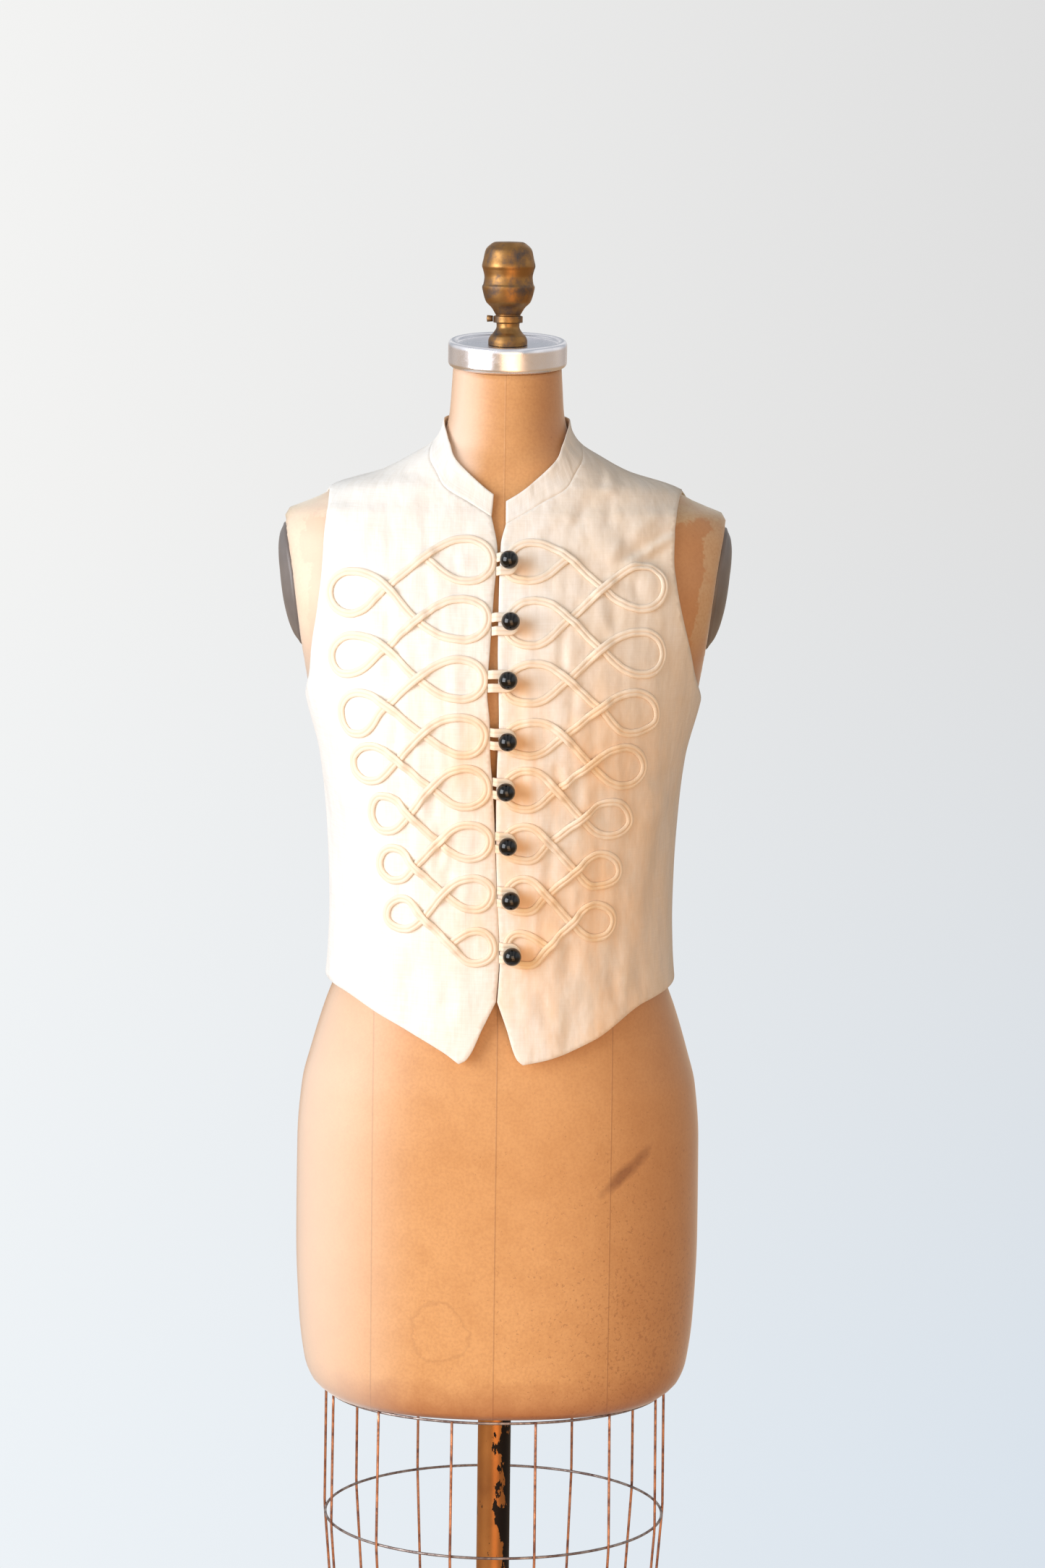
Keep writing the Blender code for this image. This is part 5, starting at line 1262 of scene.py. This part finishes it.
body = node(tree, "Mix", {0: broad, 6: colour("#E2AC70"), 7: colour("#D0955A")}, **COLOURS)
body = stain_and_painted_light(body, node(tree, "MapRange", {0: cloud, 1: 0.42, 2: 0.72, 3: 0.0, 4: 0.42}), "#C08344")
size_across = node(tree, "Math", {0: along}, operation="ABSOLUTE")
ragged_up = node(tree, "Math", {0: cloud, 1: 0.040, 2: up}, operation="MULTIPLY_ADD")
ragged_up = node(tree, "Math", {0: ragged_up, 1: 0.010}, operation="SUBTRACT")
ragged_out = node(tree, "Math", {0: cloud, 1: 0.045, 2: size_across}, operation="MULTIPLY_ADD")
ragged_out = node(tree, "Math", {0: ragged_out, 1: 0.0145}, operation="SUBTRACT")
arm_way = node(tree, "Math", {0: up, 1: -0.157, 2: ragged_out}, operation="MULTIPLY_ADD")
shoulder_up = node(tree, "MapRange", {0: ragged_up, 1: 1.419, 2: 1.422, 3: 0.0, 4: 1.0})
shoulder_out = node(tree, "MapRange", {0: size_across, 1: 0.10, 2: 0.15, 3: 0.0, 4: 1.0})
shoulder = node(tree, "Math", {0: shoulder_up, 1: shoulder_out}, operation="MULTIPLY")
arm_edge = node(tree, "MapRange", {0: arm_way, 1: -0.0350, 2: -0.0335, 3: 0.0, 4: 0.75})
arm_high = node(tree, "MapRange", {0: up, 1: 1.29, 2: 1.32, 3: 0.0, 4: 1.0})
arm_edge = node(tree, "Math", {0: arm_edge, 1: arm_high}, operation="MULTIPLY")
shoulder = node(tree, "Math", {0: shoulder, 1: arm_edge}, operation="MAXIMUM")
worn = node(tree, "MapRange", {0: cloud, 1: 0.40, 2: 0.52, 3: 0.6, 4: 1.0})
body = stain_and_painted_light(body, node(tree, "Math", {0: shoulder, 1: worn}, operation="MULTIPLY"), "#EBD3A4")
ring_away = node(tree, "Math", {0: spot(STAIN[0], 0.0, STAIN[1], 1.5), 1: 1.75}, operation="SUBTRACT")
ring_away = node(tree, "Math", {0: ring_away}, operation="ABSOLUTE")
ring = node(tree, "MapRange", {0: ring_away, 1: 0.0, 2: 0.09, 3: 0.20, 4: 0.0})
body = stain_and_painted_light(body, node(tree, "Math", {0: ring, 1: front_side}, operation="MULTIPLY"), "#8F5A2C")
smear = node(tree, "MapRange", {0: spot(*SMEAR, 2.4), 1: 1.60, 2: 2.30, 3: 0.85, 4: 0.0})
body = stain_and_painted_light(body, node(tree, "Math", {0: smear, 1: front_side}, operation="MULTIPLY"), "#7E4A20")
specks = node(tree, "TexNoise", {0: place, 2: 300.0, 3: 3.0, 4: 0.7})
speck_side = node(tree, "MapRange", {0: along, 1: -0.06, 2: 0.12, 3: 0.0, 4: 1.0})
speck_low = node(tree, "MapRange", {0: up, 1: 0.98, 2: 0.70, 3: 0.1, 4: 1.0})
speck_place = node(tree, "Math", {0: speck_side, 1: speck_low}, operation="MULTIPLY")
speck_limit = node(tree, "MapRange", {0: speck_place, 1: 0.0, 2: 1.0, 3: 0.70, 4: 0.55})
speck = node(tree, "Math", {0: specks, 1: speck_limit}, operation="SUBTRACT")
body = stain_and_painted_light(body, node(tree, "MapRange", {0: speck, 1: 0.0, 2: 0.04, 3: 0.0, 4: 0.42}), "#84491D")
grain = node(tree, "TexNoise", {0: place, 2: 420.0, 3: 2.0})
grain = node(tree, "MapRange", {0: grain, 1: 0.40, 2: 0.66, 3: 0.0, 4: 0.26})
body = stain_and_painted_light(body, grain, "#B87A40")
seam_dark = 0.0
for gore in GORES:
    away = node(tree, "Math", {0: along, 1: gore}, operation="SUBTRACT")
    away = node(tree, "Math", {0: away}, operation="ABSOLUTE")
    line = node(tree, "MapRange", {0: away, 1: 0.3 * MM, 2: 0.8 * MM, 3: 1.0, 4: 0.0})
    seam_dark = node(tree, "Math", {0: seam_dark, 1: line}, operation="MAXIMUM")
below_neck = node(tree, "MapRange", {0: up, 1: 1.36, 2: 1.42, 3: 0.34, 4: 0.12})
seam_share = node(tree, "Math", {0: seam_dark, 1: below_neck}, operation="MULTIPLY")
body = stain_and_painted_light(body, seam_share, "#7A4A24")
rim_height = node(tree, "Math", {0: cloud, 1: -0.030, 2: up}, operation="MULTIPLY_ADD")
body = stain_and_painted_light(body, node(tree, "MapRange", {0: rim_height, 1: 0.640, 2: 0.604, 3: 0.0, 4: 0.70}), "#9A5320")
# Painted highlight: the front's left side, towards the window, is paled almost to white; the band moves in
# with the narrower neck.
widened = node(tree, "MapRange", {0: up, 1: 1.41, 2: 1.455, 3: 1.0, 4: 4.3})
aside = node(tree, "Math", {0: along, 1: widened}, operation="MULTIPLY")
painted_canvas_left_highlight = node(tree, "MapRange", {0: aside, 1: -0.06, 2: -0.19, 3: 0.0, 4: 0.70}, **SOFT_ENDS)
painted_canvas_left_highlight = node(tree, "Math", {0: painted_canvas_left_highlight, 1: front_side}, operation="MULTIPLY")
body = stain_and_painted_light(body, painted_canvas_left_highlight, "#F5DFCC")
# Painted shade: the front's right side, away from the window, is darkened towards brown.
painted_canvas_right_shade = node(tree, "MapRange", {0: aside, 1: 0.04, 2: 0.18, 3: 0.0, 4: 0.42}, **SOFT_ENDS)
body = stain_and_painted_light(body, node(tree, "Math", {0: painted_canvas_right_shade, 1: front_side}, operation="MULTIPLY"), "#A86C3E")
raised = node(tree, "Bump", {"Strength": 0.4, "Distance": 0.10 * MM, "Height": weave})
raised = node(tree, "Bump", {"Strength": 0.3, "Distance": 0.5 * MM, "Height": cloud, "Normal": raised})
raised = node(tree, "Bump", {"Strength": 0.4, "Distance": 0.3 * MM, "Height": seam_dark, "Normal": raised})
linked(tree, shader, Base_Color=body, Normal=raised)

form = tube("canvas_form", form_rings(), None, canvas)
print("form:", len(form.data.polygons), "faces")

# %% [markdown]
# ## Neck cap, knob and arm plates
# The neck ends in a spun aluminium cap with a rolled rim and a shallow dish. On it stands a turned
# brass knob, brown with age in its grooves and bright where hands polish it, with a small thumb
# screw. Oval grey plates close the arm ends.

# %% Metals
def spun_metal(name, bright, dull, roughness, line_height, patina=0.0, patina_colour="#3A2A18"):
    """A turned metal: fine lines round its axis, cloudy roughness and an aged film in patches."""
    material, tree, shader = finish_of(name, Metallic=1.0, Roughness=roughness)
    place, along, deep, up = place_in(tree)
    flat_way = node(tree, "CombineXYZ", {0: along, 1: deep})
    radius = node(tree, "VectorMath", {0: flat_way}, out=1, operation="LENGTH")
    spun = node(tree, "CombineXYZ", {0: radius, 1: up})
    lines = node(tree, "TexNoise", {0: spun, 2: 1 / line_height, 3: 3.0})
    cloud = node(tree, "TexNoise", {0: place, 2: 60.0, 3: 5.0, 4: 0.65})
    body = node(tree, "Mix", {0: cloud, 6: colour(bright), 7: colour(dull)}, **COLOURS)
    least, most = 0.66 - 0.3 * patina, min(1.0, 1.4 * patina)
    film = node(tree, "MapRange", {0: cloud, 1: least, 2: 0.72, 3: 0.0, 4: most})
    body = node(tree, "Mix", {0: film, 6: body, 7: colour(patina_colour)}, **COLOURS)
    rough = node(tree, "MapRange", {0: cloud, 1: 0.3, 2: 0.7, 3: roughness * 0.75, 4: roughness * 1.5})
    raised = node(tree, "Bump", {"Strength": 0.35, "Distance": 0.05 * MM, "Height": lines})
    linked(tree, shader, Base_Color=body, Roughness=rough, Normal=raised)
    return material


aluminium = spun_metal("spun_aluminium", "#F6F4F8", "#DEDDE2", 0.26, 0.9 * MM, 0.05, "#8A8578")
brass = spun_metal("aged_turned_brass", "#B08450", "#70502E", 0.42, 0.7 * MM, 0.60, "#47505A")
iron = spun_metal("black_painted_iron", "#17171A", "#222224", 0.5, 2.0 * MM, 0.1, "#3A2A20")

# %% Cap, knob and screw
KNOB_SEAT = CAP_SEAT + 0.0196
KNOB_FOOT = (0.0026, 0.0065)
SCREW_HEIGHT = KNOB_SEAT + 0.0222
# Turned pieces from below: radius, height above the piece's seat
NECK_CAP = (
    (0.0, 0.0), (0.0475, 0.0), (0.0510, 0.0016), (0.0522, 0.0045), (0.0522, 0.0190), (0.0512, 0.0222),
    (0.0485, 0.0235), (0.0455, 0.0225), (0.0435, 0.0203), (0.0330, 0.0192), (0.0, 0.0190),
)
KNOB = (
    (0.0, 0.0), (0.0172, 0.0), (0.0172, 0.0026), (0.0159, 0.0065), (0.0126, 0.0103), (0.0100, 0.0155),
    (0.0102, 0.0183), (0.0129, 0.0191), (0.0129, 0.0242), (0.0108, 0.0253), (0.0118, 0.0271),
    (0.0146, 0.0317), (0.0196, 0.0370), (0.0222, 0.0450), (0.0231, 0.0500), (0.0220, 0.0525),
    (0.0212, 0.0585), (0.0224, 0.0645), (0.0234, 0.0680), (0.0222, 0.0740), (0.0203, 0.0822),
    (0.0165, 0.0865), (0.0120, 0.0890), (0.0, 0.0895),
)
# The thumb screw lies level: radius, distance out from the knob's axis
THUMB_SCREW = ((0.0, 0.0132), (0.0026, 0.0132), (0.0030, 0.0184), (0.0, 0.0188))


def on_slope(rings):
    """The cap's rings turned about a level line through its seat, so that the cap leans forward."""
    along, up = rings[..., 1] - CAP_MIDDLE, rings[..., 2] - CAP_SEAT
    y = CAP_MIDDLE + along * cos(CAP_TILT) - up * sin(CAP_TILT)
    z = CAP_SEAT + along * sin(CAP_TILT) + up * cos(CAP_TILT)
    return np.stack([rings[..., 0], y, z], axis=-1)


def foot_on_slope(rings):
    """The knob's rings with z + (y - middle) tan(tilt) at the foot, dying away above it."""
    share = np.clip((KNOB_SEAT + KNOB_FOOT[1] - rings[..., 2]) / (KNOB_FOOT[1] - KNOB_FOOT[0]), 0, 1)
    rise = (rings[..., 1] - CAP_MIDDLE) * tan(CAP_TILT) * share
    return np.stack([rings[..., 0], rings[..., 1], rings[..., 2] + rise], axis=-1)


middle = (0, CAP_MIDDLE)
cap = turned([(r, CAP_SEAT + h) for r, h in NECK_CAP], 120, middle, 0.8 * MM)
cap = tube("spun_cap", on_slope(cap), None, aluminium)
knob = turned([(r, KNOB_SEAT + h) for r, h in KNOB], 80, middle, 0.6 * MM)
knob = tube("turned_knob", foot_on_slope(knob), None, brass)
rings = turned(THUMB_SCREW, 24)
rings = np.stack([-rings[..., 2], CAP_MIDDLE + rings[..., 1], SCREW_HEIGHT + rings[..., 0]], axis=-1)
screw = tube("knob_screw", rings, None, brass)
print("faces of cap, knob and screw:", [len(part.data.polygons) for part in (cap, knob, screw)])

# %% Arm plates
# The plate's oval: middle of its depth, half depth, height of its middle, half height
PLATE_DEEP, PLATE_HALF_DEEP, PLATE_HIGH, PLATE_HALF_HIGH = 0.002, 0.045, 1.347, 0.0545
PLATE_CLEAR = 0.35
# Its dome from the edge in: share of the oval, millimetres out
PLATE_DOME = (
    (1.0, PLATE_CLEAR), (1.0, 1.8), (0.93, 5.0), (0.80, 9.0), (0.58, 12.2), (0.30, 14.0), (0.0, 14.4),
)

plate_paint, tree, shader = finish_of("grey_painted_plate", Roughness=0.42)
place = node(tree, "TexCoord", out=3)
cloud = node(tree, "TexNoise", {0: place, 2: 40.0, 3: 5.0})
body = node(tree, "Mix", {0: cloud, 6: colour("#827A76"), 7: colour("#625C5A")}, **COLOURS)
raised = node(tree, "Bump", {"Strength": 0.3, "Distance": 0.3 * MM, "Height": cloud})
linked(tree, shader, Base_Color=body, Normal=raised)


def arm_plate(name, turn):
    """An oval dome over the flat arm end: rings of (share of the oval, distance out) pairs."""
    dome = respaced(np.array([(0.0, PLATE_CLEAR), *PLATE_DOME]) * (1, MM), 0.02)
    dome[[0, -1], 0] = 1e-4
    a = np.linspace(0, 2 * pi, 96, endpoint=False)
    y = PLATE_DEEP + PLATE_HALF_DEEP * dome[:, :1] * np.cos(a)
    z = PLATE_HIGH + PLATE_HALF_HIGH * dome[:, :1] * np.sin(a)
    rings = np.stack([turn * (arm_plane(z) + dome[:, 1:]), y, z], axis=-1)
    return tube(name, rings if turn > 0 else rings[:, ::-1], None, plate_paint)


plates = [arm_plate("plate_right", 1), arm_plate("plate_left", -1)]
print("arm plates:", len(plates))

# %% [markdown]
# ## The cage, the pole and the base
# Below the trunk a skirt of upright wires is soldered to oval rings. The wire is copper-washed
# steel that has gone brown. The pole's paint has worn to the golden metal on one side. The base
# lies outside the picture, so it is the plain round iron foot that such a stand has.

# %% Cage
# Cage rings: name, height, half width, half depth, middle of the depth
CAGE_RINGS = (
    ("cage_ring_top", 0.6163, 0.1525, 0.1205, 0.003),
    ("cage_ring_middle", 0.4980, 0.1535, 0.1365, 0.003),
    ("cage_ring_bottom", 0.3000, 0.1385, 0.1300, 0.003),
)
WIRE = 2.4 * MM
CAGE_WIRES = 13


def wire_finish(name, bright, dull):
    """Copper-washed steel wire: brown film in short patches along it."""
    material, tree, shader = finish_of(name, Metallic=0.85, Roughness=0.42)
    place = node(tree, "TexCoord", out=3)
    cloud = node(tree, "TexNoise", {0: place, 2: 90.0, 3: 4.0, 4: 0.7})
    film = node(tree, "MapRange", {0: cloud, 1: 0.40, 2: 0.62, 3: 0.0, 4: 1.0})
    body = node(tree, "Mix", {0: film, 6: colour(bright), 7: colour(dull)}, **COLOURS)
    rough = node(tree, "MapRange", {0: cloud, 1: 0.3, 2: 0.7, 3: 0.3, 4: 0.6})
    raised = node(tree, "Bump", {"Strength": 0.3, "Distance": 0.1 * MM, "Height": cloud})
    linked(tree, shader, Base_Color=body, Roughness=rough, Normal=raised)
    return material


wire = wire_finish("copper_washed_wire", "#C98E6C", "#7D5446")
ring_wire = wire_finish("steel_ring_wire", "#A79A93", "#6E5A55")


def around_line(line, first, second, radius, sides=10):
    """Circles of one radius round each point of a line, in the planes of two given directions."""
    a = np.linspace(0, 2 * pi, sides, endpoint=False)[None, :, None]
    return line[:, None] + radius * (np.cos(a) * first[:, None] + np.sin(a) * second[:, None])


def cage_ring(name, height, half, depth, middle_y):
    """A wire round an oval: half times the sine and depth times the cosine of the angle."""
    a = np.linspace(0, 2 * pi, 156, endpoint=False)
    line = np.stack([half * np.sin(a), middle_y - depth * np.cos(a), np.full(156, height)], axis=-1)
    out = np.stack([np.sin(a) / half, -np.cos(a) / depth, 0 * a], axis=-1)
    out /= np.linalg.norm(out, axis=1)[:, None]
    up = np.zeros_like(out) + (0, 0, 1)
    return tube("fine_" + name, around_line(line, out, up, WIRE / 2), None, ring_wire, True)


def cage_wire(name, angle):
    """An upright wire just outside the rings, through their ovals at each height."""
    rings = np.array([row[1:] for row in CAGE_RINGS[::-1]])
    height = np.linspace(rings[0, 0] - 4 * MM, rings[-1, 0] + MM, 40)
    half, depth = (np.interp(height, rings[:, 0], rings[:, k]) for k in (1, 2))
    out = np.stack([np.sin(angle) / half, -np.cos(angle) / depth, 0 * half], axis=-1)
    out /= np.linalg.norm(out, axis=1)[:, None]
    line = np.stack([half * np.sin(angle), rings[0, 3] - depth * np.cos(angle), height], axis=-1)
    line = line + out * (WIRE + SEAM_GAP)
    along = np.stack([-out[:, 1], out[:, 0], 0 * half], axis=-1)
    return tube(name, around_line(line, out, along, WIRE / 2), None, wire)


cage = [cage_ring(*row) for row in CAGE_RINGS]
uprights = [cage_wire(f"upright_{k + 1:02d}", 2 * pi * (k + 0.5) / CAGE_WIRES) for k in range(CAGE_WIRES)]
print(len(cage), "rings and", len(uprights), "upright wires")

# %% Pole and base
POLE_RADIUS, POLE_FOOT, POLE_TOP = 15 * MM, 30 * MM, BODY_BOTTOM - SEAM_GAP
POLE_RIM = 0.2 * MM
BASE_RADIUS = 0.190
# Profiles from below: radius, height
POLE = (
    (0.0, POLE_FOOT), (POLE_RADIUS, POLE_FOOT), (POLE_RADIUS, POLE_FOOT + POLE_RIM),
    (POLE_RADIUS, POLE_TOP - POLE_RIM), (POLE_RADIUS, POLE_TOP), (0.0, POLE_TOP),
)
BASE = (
    (0.0, 0.0), (BASE_RADIUS - 0.002, 0.0), (BASE_RADIUS, 0.002), (BASE_RADIUS, 0.010),
    (BASE_RADIUS - 0.008, 0.016), (0.060, 0.0230), (0.030, 0.0297), (0.0, 0.0297),
)

pole_paint, tree, shader = finish_of("worn_pole_paint", Metallic=0.8, Roughness=0.38)
place, along, deep, up = place_in(tree)
stretched = node(tree, "Mapping", {0: place, 3: (1.0, 1.0, 0.35)})
chips = node(tree, "TexNoise", {0: stretched, 2: 110.0, 3: 5.0, 4: 0.65})
side_way = node(tree, "MapRange", {0: along, 1: -0.002, 2: 0.014, 3: 0.66, 4: 0.34})
paint_left = node(tree, "Math", {0: chips, 1: side_way}, operation="GREATER_THAN")
rust = node(tree, "TexNoise", {0: place, 2: 30.0, 3: 4.0})
bare = node(tree, "Mix", {0: rust, 6: colour("#D08E4C"), 7: colour("#86502A")}, **COLOURS)
body = node(tree, "Mix", {0: paint_left, 6: bare, 7: colour("#1E1814")}, **COLOURS)
rough = node(tree, "Mix", {0: paint_left, 2: 0.36, 3: 0.55}, data_type="FLOAT")
raised = node(tree, "Bump", {"Strength": 0.5, "Distance": 0.2 * MM, "Height": paint_left})
linked(tree, shader, Base_Color=body, Roughness=rough, Normal=raised)

pole = tube("worn_pole", turned(POLE, 64), None, pole_paint)
base = tube("iron_base", turned(BASE, 128), None, iron)
print(f"pole {POLE_TOP - POLE_FOOT:.3f} m long, base {2 * BASE_RADIUS:.2f} m across")

# %% Hide the frame's parts that the new pieces stand for
for side in ("right", "left"):
    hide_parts("front_" + side)
    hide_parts("braid_" + side)
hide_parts("back")
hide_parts("collar")
for k in range(len(BUTTONS)):
    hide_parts(f"button_loop_{k + 1}")
    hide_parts(f"button_{k + 1}")
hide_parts("form_body")
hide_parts("neck_cap")
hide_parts("knob")
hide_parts("thumb_screw")
for plate, side in zip(plates, ("right", "left")):
    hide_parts("arm_plate_" + side)
for ring, row in zip(cage, CAGE_RINGS):
    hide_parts(row[0])
for k, upright in enumerate(uprights):
    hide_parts(f"cage_wire_{k + 1:02d}")
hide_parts("pole")
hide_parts("stand_base")

# %% The cloth's area in all
for side, beside in (("right", [braids["right"], *balls]), ("left", [braids["left"], *loops])):
    made, size, area = fronts[side]
cloth_area = sum(part[2] for part in (*fronts.values(), back, band))
print(f"cloth in all: {cloth_area:.3f} square metres")

# %% [markdown]
# ## Studio
# A plain pale floor, a big soft window to the left, a weaker warm fill from the front and a low
# warm reflection from the right, as from a wooden floor, give the picture's bright left side and
# creamy right side.

# %% Floor
FLOOR_CLEAR, FLOOR_EDGE = 0.30, 1.10

floor_finish, tree, shader = finish_of("pale_studio_floor", Roughness=0.9)
place = node(tree, "TexCoord", out=3)
cloud = node(tree, "TexNoise", {0: place, 2: 0.7, 3: 3.0})
body = node(tree, "Mix", {0: cloud, 6: colour("#E3E8EE"), 7: colour("#E9EDF1")}, **COLOURS)
away = node(tree, "VectorMath", {0: place}, out=1, operation="LENGTH")
solid = node(tree, "MapRange", {0: away, 1: FLOOR_CLEAR, 2: FLOOR_EDGE, 3: 1.0, 4: 0.0}, **SOFT_ENDS)
linked(tree, shader, Base_Color=body, Alpha=solid)
ring = [(FLOOR_EDGE * cos(2 * pi * k / 96), FLOOR_EDGE * sin(2 * pi * k / 96), 0) for k in range(96)]
floor_mesh = bpy.data.meshes.new("studio_floor")
floor_mesh.from_pydata(ring, [], [tuple(range(96))])
floor_mesh.materials.append(floor_finish)
floor = bpy.data.objects.new("studio_floor", floor_mesh)
bpy.context.collection.objects.link(floor)
print("floor", 2 * FLOOR_EDGE, "m across")

# %% [markdown]
# The room has no walls. The camera sees an even pale tone, a little darker to the right and cooler
# below. The pieces are lit by another, dimmer room: bright and cool above, wood brown below.

# %% The room's tone and light
world = bpy.data.worlds.new("studio")
world.use_nodes = True
bpy.context.scene.world = world
room = world.node_tree
way = node(room, "TexCoord")
parts = room.nodes.new("ShaderNodeSeparateXYZ")
room.links.new(way, parts.inputs[0])
rightward = node(room, "MapRange", {0: parts.outputs[0], 1: -0.12, 2: 0.12, 3: 0.0, 4: 1.0})
upward = node(room, "MapRange", {0: parts.outputs[2], 1: -0.30, 2: -0.08, 3: 0.0, 4: 1.0})
low = node(room, "Mix", {0: rightward, 6: colour("#EEF3F7"), 7: colour("#DAE3EC")}, **COLOURS)
high = node(room, "Mix", {0: rightward, 6: colour("#F3F3F2"), 7: colour("#DFDFDF")}, **COLOURS)
seen_tone = node(room, "Mix", {0: upward, 6: low, 7: high}, **COLOURS)
above = node(room, "MapRange", {0: parts.outputs[2], 1: -0.25, 2: 0.15, 3: 0.0, 4: 1.0})
panes = node(room, "TexWave", {0: way, 1: 0.55, 2: 1.6, 3: 2.0}, out=1, bands_direction="X")
pane_tone = node(room, "Mix", {0: panes, 6: colour("#B9BFC6"), 7: colour("#FFFFFF")}, **COLOURS)
lit_tone = node(room, "Mix", {0: above, 6: colour("#C2A585"), 7: pane_tone}, **COLOURS)
seen = room.nodes["Background"]
room.links.new(seen_tone, seen.inputs[0])
lit = room.nodes.new("ShaderNodeBackground")
room.links.new(lit_tone, lit.inputs[0])
shine = node(room, "LightPath", out=3)
power = node(room, "Math", {0: shine, 1: 0.45, 2: 0.48}, operation="MULTIPLY_ADD")
room.links.new(power, lit.inputs[1])
choice = room.nodes.new("ShaderNodeMixShader")
room.links.new(node(room, "LightPath"), choice.inputs[0])
room.links.new(lit.outputs[0], choice.inputs[1])
room.links.new(seen.outputs[0], choice.inputs[2])
room.links.new(choice.outputs[0], room.nodes["World Output"].inputs[0])
print("room:", len(room.nodes), "nodes")

# %% Lamps
LIGHTS = (
    ("window", (-2.6, -1.8, 1.8), (0.0, 0.0, 1.15), 2.4, 113.0, "#F4F8FF"),
    ("fill", (0.4, -3.4, 1.3), (0.0, 0.0, 1.1), 2.0, 33.0, "#FFDDB6"),
    ("floor_glow", (0.5, -1.9, 0.35), (0.05, 0.0, 1.1), 1.2, 8.0, "#FFBE88"),
)
for name, spot_at, aim, size, power, tint in LIGHTS:
    data = bpy.data.lights.new(name, "AREA")
    data.size, data.energy, data.color = size, power, colour(tint)[:3]
    lamp = bpy.data.objects.new(name, data)
    lamp.location = spot_at
    lamp.rotation_euler = (Vector(aim) - Vector(spot_at)).to_track_quat("-Z", "Y").to_euler()
    lamp.visible_camera = False
    bpy.context.collection.objects.link(lamp)
bpy.context.scene.view_settings.view_transform = "Standard"
print(len(LIGHTS), "lamps")
